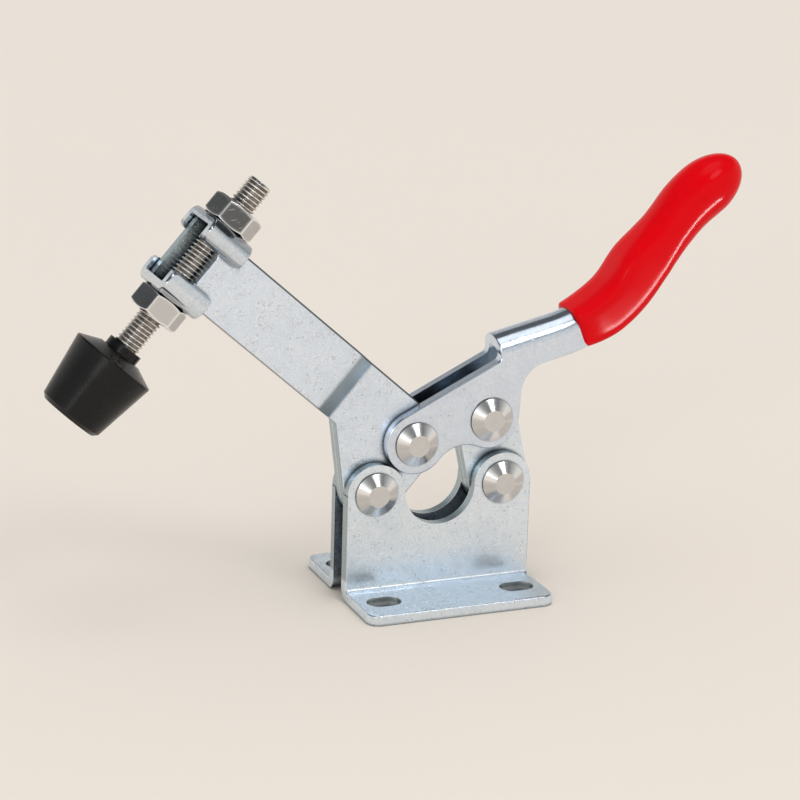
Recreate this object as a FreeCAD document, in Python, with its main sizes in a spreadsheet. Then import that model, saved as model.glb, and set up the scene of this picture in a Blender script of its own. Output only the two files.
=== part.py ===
import FreeCAD, Part
import Sketcher
import math
import os

# Toggle clamp with a vertical folded handle, modelled in millimetres.
# X runs from the clamping end towards the handle, Z is up, and the origin is the
# centre of the four mounting slots on the plane that the flanges rest on.

Vector = FreeCAD.Vector
doc = FreeCAD.newDocument("ToggleClamp")
sheet = doc.addObject("Spreadsheet::Sheet", "Sizes")

# Driving sizes first, then the places that follow from them.
driving = [
    ("sheetThick", 3.2, "thickness of the stamped steel"),
    ("pivotGap", 0.05, "play on each side between the inner plates and the outer ones"),
    ("turnPlay", 0.05, "radial play of a turning pivot or a sliding thread"),
    ("baseLength", 58.3, "length of each base plate"),
    ("pivotRatio", 0.686106, "spacing of the two base pivots against the base's length"),
    ("pivotHeight", 32.5, "height of the two base pivots"),
    ("lobeTrim", 0.2, "how far the lobes stay inside the ends of the base"),
    ("bendInside", 1.2, "inside radius of the bent flange"),
    ("edgeRound", 0.6, "rounding of the sheared outer edges"),
    ("flangeReach", 20.8, "flange width outside the upright plate"),
    ("flangeCorner", 3.6, "corner radius of the flange"),
    ("slotInset", 8.15, "from the base's end to the middle of a mounting slot"),
    ("slotLength", 10.4, "mounting slot, over its round ends"),
    ("slotWidth", 7.2, "mounting slot width"),
    ("shankRadius", 3.6, "radius of the rivet shanks"),
    ("rivetHeadRadius", 6.5, "rivet head where it meets the plate"),
    ("rivetFlatRadius", 3.3, "flat top of the rivet head"),
    ("rivetHeadHeight", 2.3, "rivet head height"),
    ("rivetRim", 0.5, "straight rim under the rivet head's cone"),
    ("crankRatio", 0.4675, "arm, base pivot to handle pivot, against the pivots' spacing"),
    ("barAngle", 138.6, "rest angle of the bar, 180 is level over the work"),
    ("crankLean", 1.0, "lean of the arm's two pivots against the square of the bar"),
    ("barDrop", 0.3, "middle of the bar below the handle pivot"),
    ("armLobe", 9.0, "radius of the arm round its base pivot"),
    ("legAngle", 41.0, "slope of the arm's leading edge against the bar"),
    ("barHeight", 20.2, "height of the bar"),
    ("barReach", 87.5, "from the base pivot to the spindle along the bar"),
    ("barOverhang", 6.0, "bar beyond the spindle"),
    ("endNotchPast", 1.0, "end notch of the front strip, past the spindle's axis"),
    ("endProng", 4.3, "height of the prongs above and below the end notch"),
    ("endNotchRound", 1.5, "corner radius of the end notch"),
    ("jogStart", 26.9, "from the base pivot to the start of the spread"),
    ("jogLength", 7.2, "length of the spread along the bar"),
    ("jogRound", 1.6, "inside radius of the bends at the spread"),
    ("spindlePlay", 0.3, "play between spindle and bar strips"),
    ("couplerRatio", 0.6025, "handle, arm pivot to link pivot, against the pivots' spacing"),
    ("linkRatio", 0.505, "link, pivot to pivot, against the pivots' spacing"),
    ("linkLobe", 9.4, "half width of the link plates"),
    ("linkSlotPlay", 0.95, "radial clearance of the link's slot on its rivet"),
    ("linkSlotDown", 0.8, "slot travel towards the handle side"),
    ("linkSlotUp", 3.8, "slot travel towards the bar side"),
    ("lobeGap", 0.45, "clearance between the handle's front lobe and the base's lobe"),
    ("heelGap", 2.25, "clearance between the handle's heel and the base's lobe"),
    ("underRadius", 10.3, "hollow between the handle's two lobes"),
    ("legRise", 13.0, "slope of the handle leg's upper edge"),
    ("heelRise", 73.0, "slope of the handle behind the link pivot"),
    ("throatRadius", 9.0, "hollow where the legs run into the channel"),
    ("foldAhead", 6.9, "from the link pivot to the front of the folded spine"),
    ("foldCorner", 2.2, "hollow where the legs run up to the spine's front"),
    ("channelMiddle", 17.3, "height of the channel's middle above the pivots' line"),
    ("channelDepth", 11.4, "depth of the folded channel"),
    ("spineRound", 5.6, "outer radius of the fold"),
    ("channelRun", 19.0, "straight channel, from the front of the spine to its bend"),
    ("bendRadius", 48.0, "radius of the channel's bend"),
    ("bendTurn", 39.0, "turn of the channel's bend"),
    ("tangLength", 12.0, "steel beyond the bend, inside the grip"),
    ("gripStraight", 19.0, "straight length of the grip"),
    ("gripTipRadius", 40.0, "radius of the grip's second bend"),
    ("gripTipTurn", 19.0, "turn back of the grip's second bend"),
    ("gripTipLength", 12.6, "grip beyond its second bend"),
    ("gripWall", 2.0, "thickness of the dipped grip above and below the steel"),
    ("gripSideWall", 1.7, "thickness of the dipped grip beside the steel"),
    ("gripStartTurn", 8.0, "where the grip starts, as turn of the first bend"),
    ("gripEdge", 5.2, "rounding of the grip's long edges"),
    ("gripEnd", 7.4, "rounding of the grip's end in side view"),
    ("spindleRadius", 4.0, "outer radius of the spindle's thread"),
    ("spindleAbove", 28.5, "spindle above the middle of the bar"),
    ("spindleBevel", 0.8, "bevel of the spindle's end"),
    ("tipBottom", 55.6, "rubber tip's face below the middle of the bar"),
    ("tipSeat", 14.0, "spindle's depth in the rubber tip"),
    ("tipFaceRadius", 9.7, "rubber tip's face"),
    ("tipRimRadius", 12.7, "rubber tip's rim"),
    ("tipRimHeight", 19.8, "rim above the face"),
    ("tipRimRound", 0.5, "rounding of the tip's rim"),
    ("tipNeckRadius", 6.6, "top of the tip's cone"),
    ("tipNeckHeight", 22.5, "top of the cone above the face"),
    ("tipCollarRadius", 5.3, "tip's collar"),
    ("tipHeight", 25.1, "whole height of the tip"),
    ("tipRound", 1.2, "rounding of the tip's face edge"),
    ("nutAcross", 14.0, "nut across its flats"),
    ("nutHeight", 6.8, "nut height"),
    ("nutTrim", 0.15, "the nut's round face inside its flats"),
    ("nutTilt", 30.0, "bevel angle of the nut's corners"),
    ("upperNutTurn", 43.2, "how the upper nut is turned"),
    ("lowerNutTurn", 51.5, "how the lower nut is turned"),
    ("saddleThick", 2.8, "thickness of the saddle washers"),
    ("saddleLength", 14.8, "saddle washer along the bar"),
    ("saddleGrip", 4.7, "overlap of the saddle washer's flaps with the bar"),
    ("saddleBend", 0.6, "inside radius of the saddle washer's bends"),
    ("saddlePlay", 0.1, "play between the flaps and the bar"),
    ("saddleCorner", 1.6, "corner radius of the flaps"),
    ("saddleRim", 0.8, "rounding of the saddle washer's outer edges"),
    ("saddleHole", 4.2, "radius of the saddle washer's hole"),
]
derived = [
    ("webInner", "sheetThick + pivotGap"),
    ("webOuter", "webInner + sheetThick"),
    ("bendTop", "sheetThick + bendInside"),
    ("bendFoot", "webOuter + bendInside"),
    ("bendOutside", "sheetThick + bendInside"),
    ("flangeEnd", "webOuter + flangeReach"),
    ("halfBase", "baseLength / 2"),
    ("pivotSpacing", "baseLength * pivotRatio"),
    ("halfPivots", "pivotSpacing / 2"),
    ("crankLength", "pivotSpacing * crankRatio"),
    ("couplerLength", "pivotSpacing * couplerRatio"),
    ("linkLength", "pivotSpacing * linkRatio"),
    ("baseLobe", "halfBase - halfPivots - lobeTrim"),
    ("lobeEnd", "halfPivots + baseLobe"),
    ("handleLobe", "crankLength - baseLobe - lobeGap"),
    ("handleHeel", "linkLength - baseLobe - heelGap"),
    ("foldFront", "couplerLength + foldAhead"),
    ("bendStart", "foldFront + channelRun"),
    ("notchRadius", "halfPivots - baseLobe"),
    ("notchBottom", "pivotHeight - notchRadius"),
    ("webTop", "pivotHeight + baseLobe"),
    ("cutTop", "webTop + sheetThick"),
    ("cutEnd", "halfBase + sheetThick"),
    ("slotAcross", "(webOuter + flangeEnd) / 2"),
    ("halfSlots", "halfBase - slotInset"),
    ("slotRound", "slotWidth / 2"),
    ("slotInnerEnd", "halfSlots - slotLength / 2 + slotRound"),
    ("slotOuterEnd", "halfSlots + slotLength / 2 - slotRound"),
    ("slotNear", "slotAcross - slotRound"),
    ("slotFar", "slotAcross + slotRound"),
    ("slotLeft", "slotInnerEnd - slotRound"),
    ("slotRight", "slotOuterEnd + slotRound"),
    ("shankHole", "shankRadius + turnPlay"),
    ("armTilt", "180 - barAngle"),
    ("crankX", "-halfPivots + crankLength * cos(barAngle - 90 + crankLean)"),
    ("crankZ", "pivotHeight + crankLength * sin(barAngle - 90 + crankLean)"),
    ("crankAcross", "-crankLength * sin(crankLean)"),
    ("crankUp", "crankLength * cos(crankLean)"),
    ("barMiddle", "crankUp - barDrop"),
    ("spanX", "halfPivots - crankX"),
    ("spanZ", "pivotHeight - crankZ"),
    ("span", "sqrt(spanX * spanX + spanZ * spanZ)"),
    ("spanPart", "(couplerLength * couplerLength - linkLength * linkLength + span * span) / (2 * span)"),
    ("spanRise", "sqrt(couplerLength * couplerLength - spanPart * spanPart)"),
    ("elbowX", "crankX + (spanPart * spanX - spanRise * spanZ) / span"),
    ("elbowZ", "crankZ + (spanPart * spanZ + spanRise * spanX) / span"),
    ("handleTilt", "-atan2(elbowZ - crankZ; elbowX - crankX) / 1 deg"),
    ("linkTilt", "-atan2(elbowZ - pivotHeight; elbowX - halfPivots) / 1 deg"),
    ("barBottom", "barMiddle - barHeight / 2"),
    ("barTop", "barMiddle + barHeight / 2"),
    ("spreadInner", "spindleRadius + spindlePlay"),
    ("spreadOuter", "spreadInner + sheetThick"),
    ("jogEnd", "jogStart + jogLength"),
    ("jogShift", "sheetThick * (sqrt(jogLength * jogLength + spreadInner * spreadInner) - jogLength)"
     " / spreadInner"),
    ("jogStartOut", "jogStart - jogShift"),
    ("jogEndOut", "jogEnd - jogShift"),
    ("barEnd", "barReach + barOverhang"),
    ("legTouchX", "-armLobe * sin(legAngle)"),
    ("legTouchZ", "-armLobe * cos(legAngle)"),
    ("legMeetX", "legTouchX - (barBottom - legTouchZ) * cos(legAngle) / sin(legAngle)"),
    ("legTopX", "-armLobe"),
    ("headX", "-halfPivots + barReach * cos(barAngle) + barMiddle * cos(barAngle - 90)"),
    ("headZ", "pivotHeight + barReach * sin(barAngle) + barMiddle * sin(barAngle - 90)"),
    ("jogOutside", "jogRound + sheetThick"),
    ("endNotchX", "endNotchPast - barReach"),
    ("endNotchStartX", "endNotchX - endNotchRound"),
    ("endNotchLow", "barBottom + endProng"),
    ("endNotchHigh", "barTop - endProng"),
    ("endNotchLowRound", "endNotchLow + endNotchRound"),
    ("endNotchHighRound", "endNotchHigh - endNotchRound"),
    ("pastEnd", "barEnd + sheetThick"),
    ("hollowX", "(couplerLength * couplerLength + (handleLobe + underRadius) * (handleLobe + underRadius)"
     " - (handleHeel + underRadius) * (handleHeel + underRadius)) / (2 * couplerLength)"),
    ("hollowZ", "-sqrt((handleLobe + underRadius) * (handleLobe + underRadius) - hollowX * hollowX)"),
    ("hollowStartX", "hollowX * handleLobe / (handleLobe + underRadius)"),
    ("hollowStartZ", "hollowZ * handleLobe / (handleLobe + underRadius)"),
    ("hollowEndX", "couplerLength + (hollowX - couplerLength) * handleHeel / (handleHeel + underRadius)"),
    ("hollowEndZ", "hollowZ * handleHeel / (handleHeel + underRadius)"),
    ("heelX", "couplerLength + handleHeel * sin(heelRise)"),
    ("heelZ", "-handleHeel * cos(heelRise)"),
    ("channelHalf", "channelDepth / 2"),
    ("channelTop", "channelMiddle + channelHalf"),
    ("channelBottom", "channelMiddle - channelHalf"),
    ("cornerX", "heelX + (channelBottom - heelZ) * cos(heelRise) / sin(heelRise)"),
    ("throatRun", "throatRadius * sin(heelRise / 2) / cos(heelRise / 2)"),
    ("throatStartX", "cornerX - throatRun * cos(heelRise)"),
    ("throatStartZ", "channelBottom - throatRun * sin(heelRise)"),
    ("throatEndX", "cornerX + throatRun"),
    ("legStartX", "-handleLobe * sin(legRise)"),
    ("legStartZ", "handleLobe * cos(legRise)"),
    ("legEndZ", "legStartZ + (foldFront - legStartX) * sin(legRise) / cos(legRise)"),
    ("foldRun", "foldCorner * cos(45 + legRise / 2) / sin(45 + legRise / 2)"),
    ("foldCornerZ", "legEndZ + foldRun"),
    ("legCornerX", "foldFront - foldRun * cos(legRise)"),
    ("legCornerZ", "legEndZ - foldRun * sin(legRise)"),
    ("slotCeiling", "channelMiddle + channelHalf - sheetThick"),
    ("ceilingHalf", "channelHalf - sheetThick"),
    ("floorHalf", "channelHalf + sheetThick"),
    ("slotFloor", "channelMiddle - floorHalf"),
    ("slotFront", "handleLobe + sheetThick"),
    ("gripHalf", "channelHalf + gripWall"),
    ("gripSide", "webOuter + gripSideWall"),
    ("tipTurn", "bendTurn - gripTipTurn"),
    ("bendCentreZ", "channelMiddle + bendRadius"),
    ("bendEndX", "bendStart + bendRadius * sin(bendTurn)"),
    ("bendEndZ", "bendCentreZ - bendRadius * cos(bendTurn)"),
    ("tangX", "bendEndX + tangLength * cos(bendTurn)"),
    ("tangZ", "bendEndZ + tangLength * sin(bendTurn)"),
    ("tangPastX", "tangX + sheetThick * cos(bendTurn)"),
    ("tangPastZ", "tangZ + sheetThick * sin(bendTurn)"),
    ("gripStartX", "bendStart + bendRadius * sin(gripStartTurn)"),
    ("gripStartZ", "bendCentreZ - bendRadius * cos(gripStartTurn)"),
    ("gripKneeX", "bendEndX + gripStraight * cos(bendTurn)"),
    ("gripKneeZ", "bendEndZ + gripStraight * sin(bendTurn)"),
    ("gripTipX", "gripKneeX + gripTipRadius * (sin(bendTurn) - sin(tipTurn))"),
    ("gripTipZ", "gripKneeZ + gripTipRadius * (cos(tipTurn) - cos(bendTurn))"),
    ("gripLastX", "gripTipX + (gripTipLength - gripEnd) * cos(tipTurn)"),
    ("gripLastZ", "gripTipZ + (gripTipLength - gripEnd) * sin(tipTurn)"),
    ("gripFaceX", "gripTipX + gripTipLength * cos(tipTurn)"),
    ("gripFaceZ", "gripTipZ + gripTipLength * sin(tipTurn)"),
    ("gripFlat", "gripHalf - gripEnd"),
    ("gripBendUpper", "bendRadius - gripHalf"),
    ("gripBendLower", "bendRadius + gripHalf"),
    ("gripTipUpper", "gripTipRadius + gripHalf"),
    ("gripTipLower", "gripTipRadius - gripHalf"),
    ("steelBendUpper", "bendRadius - channelHalf"),
    ("steelBendLower", "bendRadius + channelHalf"),
    ("ceilingBend", "bendRadius - ceilingHalf"),
    ("floorBend", "bendRadius + floorHalf"),
    ("rivetHalf", "webOuter"),
    ("rivetEdge", "webOuter + rivetRim"),
    ("rivetTop", "webOuter + rivetHeadHeight"),
    ("spindleFoot", "-tipBottom + tipHeight - tipSeat"),
    ("tipFoot", "-tipBottom"),
    ("tipRimZ", "tipRimHeight - tipBottom"),
    ("tipNeckZ", "tipNeckHeight - tipBottom"),
    ("tipTopZ", "tipHeight - tipBottom"),
    ("halfBar", "barHeight / 2"),
    ("seatHeight", "halfBar + saddleThick"),
    ("nutTop", "seatHeight + nutHeight"),
    ("nutCorner", "nutAcross / 2 / cos(30)"),
    ("nutPast", "nutCorner + nutTrim"),
    ("nutFace", "nutAcross / 2 - nutTrim"),
    ("nutBevel", "(nutPast - nutFace) * sin(nutTilt) / cos(nutTilt)"),
    ("bevelLow", "seatHeight + nutBevel"),
    ("bevelHigh", "nutTop - nutBevel"),
    ("saddleInner", "spreadOuter + saddlePlay"),
    ("saddleOuter", "saddleInner + saddleThick"),
    ("saddleRound", "saddleBend + saddleThick"),
    ("saddleFlat", "saddleInner - saddleBend"),
    ("saddleInside", "halfBar - saddleBend"),
    ("saddleFoot", "halfBar - saddleGrip"),
    ("linkHoleRound", "shankRadius + linkSlotPlay"),
]

# Stations of the channel's middle line: name, turn and place of each.
stations = [
    ("Start", "gripStartTurn", "gripStartX", "gripStartZ"),
    ("Bend", "bendTurn", "bendEndX", "bendEndZ"),
    ("Tang", "bendTurn", "tangX", "tangZ"),
    ("Past", "bendTurn", "tangPastX", "tangPastZ"),
    ("Knee", "bendTurn", "gripKneeX", "gripKneeZ"),
    ("Tip", "tipTurn", "gripTipX", "gripTipZ"),
    ("Last", "tipTurn", "gripLastX", "gripLastZ"),
]


def path_names(prefix, half, stations):
    # Corners at a distance to each side of the channel's middle line.
    added = []
    for station, turn, across, up in stations:
        for letter, sign in (("Upper", "+"), ("Lower", "-")):
            added.append((prefix + station + letter + "X",
                          across + (" - " if sign == "+" else " + ") + half + " * sin(" + turn + ")"))
            added.append((prefix + station + letter + "Z",
                          up + (" + " if sign == "+" else " - ") + half + " * cos(" + turn + ")"))
    return added


derived = derived + path_names("grip", "gripHalf", stations)
derived = derived + path_names("steel", "channelHalf", stations)
derived = derived + path_names("ceiling", "ceilingHalf", stations)
derived = derived + path_names("floor", "floorHalf", stations)
derived = derived + [
    ("gripFaceUpperX", "gripFaceX - gripFlat * sin(tipTurn)"),
    ("gripFaceUpperZ", "gripFaceZ + gripFlat * cos(tipTurn)"),
    ("gripFaceLowerX", "gripFaceX + gripFlat * sin(tipTurn)"),
    ("gripFaceLowerZ", "gripFaceZ - gripFlat * cos(tipTurn)"),
    ("linkFar", "linkLength + linkLobe"),
    ("linkHoleLeft", "linkLength - linkHoleRound"),
    ("linkHoleRight", "linkLength + linkHoleRound"),
    ("linkHoleLow", "-linkSlotDown - linkHoleRound"),
    ("linkHoleHigh", "linkSlotUp + linkHoleRound"),
    ("handleWidth", "2 * webOuter"),
    ("plateGap", "2 * webInner"),
    ("foldInside", "webInner - webOuter + spineRound"),
    ("gripWidth", "2 * gripSide"),
    ("threadHole", "spindleRadius + turnPlay"),
    ("bevelRadius", "spindleRadius - spindleBevel"),
    ("spindleFootBevel", "spindleFoot + spindleBevel"),
    ("spindleTopBevel", "spindleAbove - spindleBevel"),
    ("tipFaceFlat", "tipFaceRadius - tipRound"),
    ("tipFaceEdge", "tipFoot + tipRound"),
]

row = 0
for name, value, note in driving:
    row = row + 1
    sheet.set("A%d" % row, name)
    sheet.set("B%d" % row, str(value))
    sheet.setAlias("B%d" % row, name)
    sheet.set("C%d" % row, note)
for name, formula in derived:
    row = row + 1
    sheet.set("A%d" % row, name)
    sheet.set("B%d" % row, "=" + formula)
    sheet.setAlias("B%d" % row, name)
doc.recompute()


def size(name):
    # A name may carry a leading minus; "0" is the origin itself.
    if name == "0":
        return 0.0
    if name.startswith("-"):
        return -float(sheet.get(name[1:]))
    return float(sheet.get(name))


def formula(name):
    if name.startswith("-"):
        return "-Sizes." + name[1:]
    return "Sizes." + name


def flip(name, side):
    # The mirrored value of a size, for the second plate of a pair.
    if side > 0 or name == "0":
        return name
    if name.startswith("-"):
        return name[1:]
    return "-" + name


def new_body(name):
    body = doc.addObject("PartDesign::Body", name)
    body.Label = name
    return body


def new_sketch(body, name, role):
    sketch = body.newObject("Sketcher::SketchObject", name)
    for item in body.Origin.OriginFeatures:
        if item.Role == role:
            sketch.AttachmentSupport = [(item, "")]
    sketch.MapMode = "FlatFace"
    return sketch


def drive(sketch, constraint, name):
    index = sketch.addConstraint(constraint)
    if name != "0":
        label = "dim%d" % index
        sketch.renameConstraint(index, label)
        sketch.setExpression("Constraints." + label, formula(name))


def pin(sketch, piece, end, across, up):
    drive(sketch, Sketcher.Constraint("DistanceX", -1, 1, piece, end, size(across)), across)
    drive(sketch, Sketcher.Constraint("DistanceY", -1, 1, piece, end, size(up)), up)


def outline(sketch, corners):
    # Each corner is (across, up) or (across, up, radius, turn): the last two describe
    # the arc that leaves the corner, with turn 1 to the left and -1 to the right.
    # Every corner and radius is driven by its named size.
    count = len(corners)
    ends = []
    for index in range(count):
        here = corners[index]
        there = corners[(index + 1) % count]
        first = Vector(size(here[0]), size(here[1]), 0)
        last = Vector(size(there[0]), size(there[1]), 0)
        if len(here) == 2:
            piece = sketch.addGeometry(Part.LineSegment(first, last), False)
            ends.append((piece, 1, 2))
            continue
        radius = size(here[2])
        chord = last - first
        middle = (first + last) * 0.5
        left = Vector(-chord.y, chord.x, 0)
        left.normalize()
        rise = math.sqrt(max(radius * radius - chord.Length * chord.Length / 4, 0.0))
        centre = middle + left * (rise * here[3])
        circle = Part.Circle(centre, Vector(0, 0, 1), radius)
        begin = math.atan2(first.y - centre.y, first.x - centre.x)
        finish = math.atan2(last.y - centre.y, last.x - centre.x)
        if here[3] > 0:
            piece = sketch.addGeometry(Part.ArcOfCircle(circle, begin, finish), False)
            ends.append((piece, 1, 2))
        else:
            piece = sketch.addGeometry(Part.ArcOfCircle(circle, finish, begin), False)
            ends.append((piece, 2, 1))
        drive(sketch, Sketcher.Constraint("Radius", piece, radius), here[2])
    for index in range(count):
        here = ends[index]
        there = ends[(index + 1) % count]
        sketch.addConstraint(Sketcher.Constraint("Coincident", here[0], here[2], there[0], there[1]))
    for index in range(count):
        pin(sketch, ends[index][0], ends[index][1], corners[index][0], corners[index][1])
    return ends


def round_hole(sketch, across, up, radius):
    centre = Vector(size(across), size(up), 0)
    piece = sketch.addGeometry(Part.Circle(centre, Vector(0, 0, 1), size(radius)), False)
    pin(sketch, piece, 3, across, up)
    drive(sketch, Sketcher.Constraint("Radius", piece, size(radius)), radius)


def lift(sketch, name):
    # Moves a sketch along its own normal by a named size.
    shift = FreeCAD.Placement(Vector(0, 0, size(name)), FreeCAD.Rotation())
    sketch.AttachmentOffset = shift
    if name != "0":
        sketch.setExpression("AttachmentOffset.Base.z", formula(name))


def pad(body, sketch, name, length, back=False, both=False):
    feature = body.newObject("PartDesign::Pad", name)
    feature.Profile = sketch
    feature.Length = size(length)
    feature.setExpression("Length", formula(length))
    feature.Reversed = back
    if both:
        feature.SideType = "Symmetric"
    doc.recompute()
    return feature


def pocket(body, sketch, name, length="", back=False, both=False):
    before = body.Shape.Volume
    feature = body.newObject("PartDesign::Pocket", name)
    feature.Profile = sketch
    if length:
        feature.Length = size(length)
        feature.setExpression("Length", formula(length))
    else:
        feature.Type = "ThroughAll"
    feature.Reversed = back
    if both:
        feature.SideType = "Symmetric"
    doc.recompute()
    if body.Shape.Volume > before - 0.01:
        raise RuntimeError("nothing was cut by " + name)
    return feature


def fillet(body, name, radius, wanted):
    # wanted is a test on an edge's middle point, its direction and its length.
    base = body.Tip
    edges = []
    for index, edge in enumerate(base.Shape.Edges):
        middle = edge.valueAt((edge.FirstParameter + edge.LastParameter) / 2)
        along = edge.tangentAt((edge.FirstParameter + edge.LastParameter) / 2)
        if wanted(middle, along, edge.Length):
            edges.append("Edge%d" % (index + 1))
    if not edges:
        raise RuntimeError("no edge found for " + name)
    feature = body.newObject("PartDesign::Fillet", name)
    feature.Base = (base, edges)
    feature.Radius = size(radius)
    feature.setExpression("Radius", formula(radius))
    doc.recompute()
    return feature


def near(first, second):
    return abs(first - second) < 0.02


def place(body, across, up, tilt):
    # Turned about Y by a named angle and moved to a named place in the XZ plane.
    base = Vector(size(across), 0, size(up))
    body.Placement = FreeCAD.Placement(base, FreeCAD.Rotation(Vector(0, 1, 0), size(tilt)))
    if across != "0":
        body.setExpression("Placement.Base.x", formula(across))
    if up != "0":
        body.setExpression("Placement.Base.z", formula(up))
    body.setExpression("Placement.Rotation.Angle", formula(tilt))


def base_plate(label, side):
    # One bent plate: upright with two lobes and a round notch, flange with two slots.
    body = new_body(label)
    section = new_sketch(body, label + "_section", "YZ_Plane")
    outline(section, [
        (flip("webInner", side), "webTop"),
        (flip("webOuter", side), "webTop"),
        (flip("webOuter", side), "bendTop", "bendInside", side),
        (flip("bendFoot", side), "sheetThick"),
        (flip("flangeEnd", side), "sheetThick"),
        (flip("flangeEnd", side), "0"),
        (flip("bendFoot", side), "0", "bendOutside", -side),
        (flip("webInner", side), "bendTop"),
    ])
    pad(body, section, label + "_bent", "baseLength", both=True)
    lobes = new_sketch(body, label + "_lobes", "XZ_Plane")
    outline(lobes, [
        ("-cutEnd", "cutTop"),
        ("-cutEnd", "pivotHeight"),
        ("-lobeEnd", "pivotHeight", "baseLobe", -1),
        ("-halfPivots", "webTop", "baseLobe", -1),
        ("-notchRadius", "pivotHeight", "notchRadius", 1),
        ("0", "notchBottom", "notchRadius", 1),
        ("notchRadius", "pivotHeight", "baseLobe", -1),
        ("halfPivots", "webTop", "baseLobe", -1),
        ("lobeEnd", "pivotHeight"),
        ("cutEnd", "pivotHeight"),
        ("cutEnd", "cutTop"),
    ])
    pocket(body, lobes, label + "_outline", both=True)
    holes = new_sketch(body, label + "_pivots", "XZ_Plane")
    round_hole(holes, "-halfPivots", "pivotHeight", "shankRadius")
    round_hole(holes, "halfPivots", "pivotHeight", "shankRadius")
    pocket(body, holes, label + "_pivot_holes", both=True)
    slots = new_sketch(body, label + "_slots", "XY_Plane")
    for end in (-1, 1):
        outline(slots, [
            (flip("slotInnerEnd", end), flip("slotNear", side)),
            (flip("slotOuterEnd", end), flip("slotNear", side), "slotRound", side * end),
            (flip("slotRight", end), flip("slotAcross", side), "slotRound", side * end),
            (flip("slotOuterEnd", end), flip("slotFar", side)),
            (flip("slotInnerEnd", end), flip("slotFar", side), "slotRound", side * end),
            (flip("slotLeft", end), flip("slotAcross", side), "slotRound", side * end),
        ])
    pocket(body, slots, label + "_slot_cut", both=True)
    fillet(body, label + "_corners", "flangeCorner",
           lambda middle, along, length: near(abs(middle.x), size("halfBase"))
           and near(abs(middle.y), size("flangeEnd")) and abs(along.z) > 0.9)
    fillet(body, label + "_rim", "edgeRound",
           lambda middle, along, length: near(middle.y, side * size("webOuter"))
           and abs(along.y) < 0.1 and length > size("shankRadius") * 2
           and near(abs(middle.x), size("halfBase")))
    return body


def arm_strip(label, side, notched):
    # Local frame: base pivot at the origin, bar running level towards -X. The front
    # strip is cut back round the spindle, between the washers' flaps.
    body = new_body(label)
    plan = new_sketch(body, label + "_plan", "XY_Plane")
    lift(plan, "barBottom")
    outline(plan, [
        ("armLobe", "0"),
        ("-jogStart", "0"),
        ("-jogEnd", flip("spreadInner", side)),
        ("-barEnd", flip("spreadInner", side)),
        ("-barEnd", flip("spreadOuter", side)),
        ("-jogEndOut", flip("spreadOuter", side)),
        ("-jogStartOut", flip("sheetThick", side)),
        ("armLobe", flip("sheetThick", side)),
    ])
    pad(body, plan, label + "_bar", "barHeight")
    leg = new_sketch(body, label + "_leg", "XZ_Plane")
    outline(leg, [
        ("armLobe", "0", "armLobe", -1),
        ("0", "-armLobe", "armLobe", -1),
        ("legTouchX", "legTouchZ"),
        ("legMeetX", "barBottom"),
        ("legTopX", "barMiddle"),
        ("armLobe", "barMiddle"),
    ])
    pad(body, leg, label + "_leg_plate", "sheetThick", back=side > 0)
    fillet(body, label + "_heel", "armLobe",
           lambda middle, along, length: near(middle.x, size("armLobe"))
           and near(middle.z, size("barTop")) and abs(along.y) > 0.9)
    fillet(body, label + "_bends_inside", "jogRound",
           lambda middle, along, length: abs(along.z) > 0.9
           and (near(middle.x, -size("jogStartOut")) or near(middle.x, -size("jogEnd"))))
    fillet(body, label + "_bends_outside", "jogOutside",
           lambda middle, along, length: abs(along.z) > 0.9
           and (near(middle.x, -size("jogStart")) or near(middle.x, -size("jogEndOut"))))
    if notched:
        notch = new_sketch(body, label + "_notch", "XZ_Plane")
        outline(notch, [
            ("-pastEnd", "endNotchLow"),
            ("endNotchStartX", "endNotchLow", "endNotchRound", 1),
            ("endNotchX", "endNotchLowRound"),
            ("endNotchX", "endNotchHighRound", "endNotchRound", 1),
            ("endNotchStartX", "endNotchHigh"),
            ("-pastEnd", "endNotchHigh"),
        ])
        pocket(body, notch, label + "_end_notch", both=True)
    fillet(body, label + "_rim", "edgeRound",
           lambda middle, along, length: on_strip(middle, side)
           and not (abs(along.z) > 0.9 and middle.x > size("armLobe") - size("barEnd")))
    holes = new_sketch(body, label + "_pivots", "XZ_Plane")
    round_hole(holes, "0", "0", "shankHole")
    round_hole(holes, "crankAcross", "crankUp", "shankHole")
    pocket(body, holes, label + "_pivot_holes", both=True)
    place(body, "-halfPivots", "pivotHeight", "armTilt")
    return body


def on_strip(point, side):
    # True on the outer face of a bar strip, which steps outward at the spread.
    begin = -size("jogStartOut")
    finish = -size("jogEndOut")
    share = min(max((begin - point.x) / (begin - finish), 0.0), 1.0)
    return near(point.y, side * (size("sheetThick") + share * size("spreadInner")))


def link_plate(label, side):
    # Local frame: base pivot at the origin, handle pivot on the X axis.
    body = new_body(label)
    sketch = new_sketch(body, label + "_outline", "XZ_Plane")
    sizes = [
        ("0", "-linkLobe"),
        ("linkLength", "-linkLobe", "linkLobe", 1),
        ("linkFar", "0", "linkLobe", 1),
        ("linkLength", "linkLobe"),
        ("0", "linkLobe", "linkLobe", 1),
        ("-linkLobe", "0", "linkLobe", 1),
    ]
    outline(sketch, sizes)
    pad(body, sketch, label + "_plate", "sheetThick", back=side > 0)
    holes = new_sketch(body, label + "_pivot", "XZ_Plane")
    round_hole(holes, "0", "0", "shankHole")
    outline(holes, [
        ("linkHoleLeft", "-linkSlotDown", "linkHoleRound", 1),
        ("linkLength", "linkHoleLow", "linkHoleRound", 1),
        ("linkHoleRight", "-linkSlotDown"),
        ("linkHoleRight", "linkSlotUp", "linkHoleRound", 1),
        ("linkLength", "linkHoleHigh", "linkHoleRound", 1),
        ("linkHoleLeft", "linkSlotUp"),
    ])
    pocket(body, holes, label + "_holes", both=True)
    place(body, "halfPivots", "pivotHeight", "linkTilt")
    return body


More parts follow.
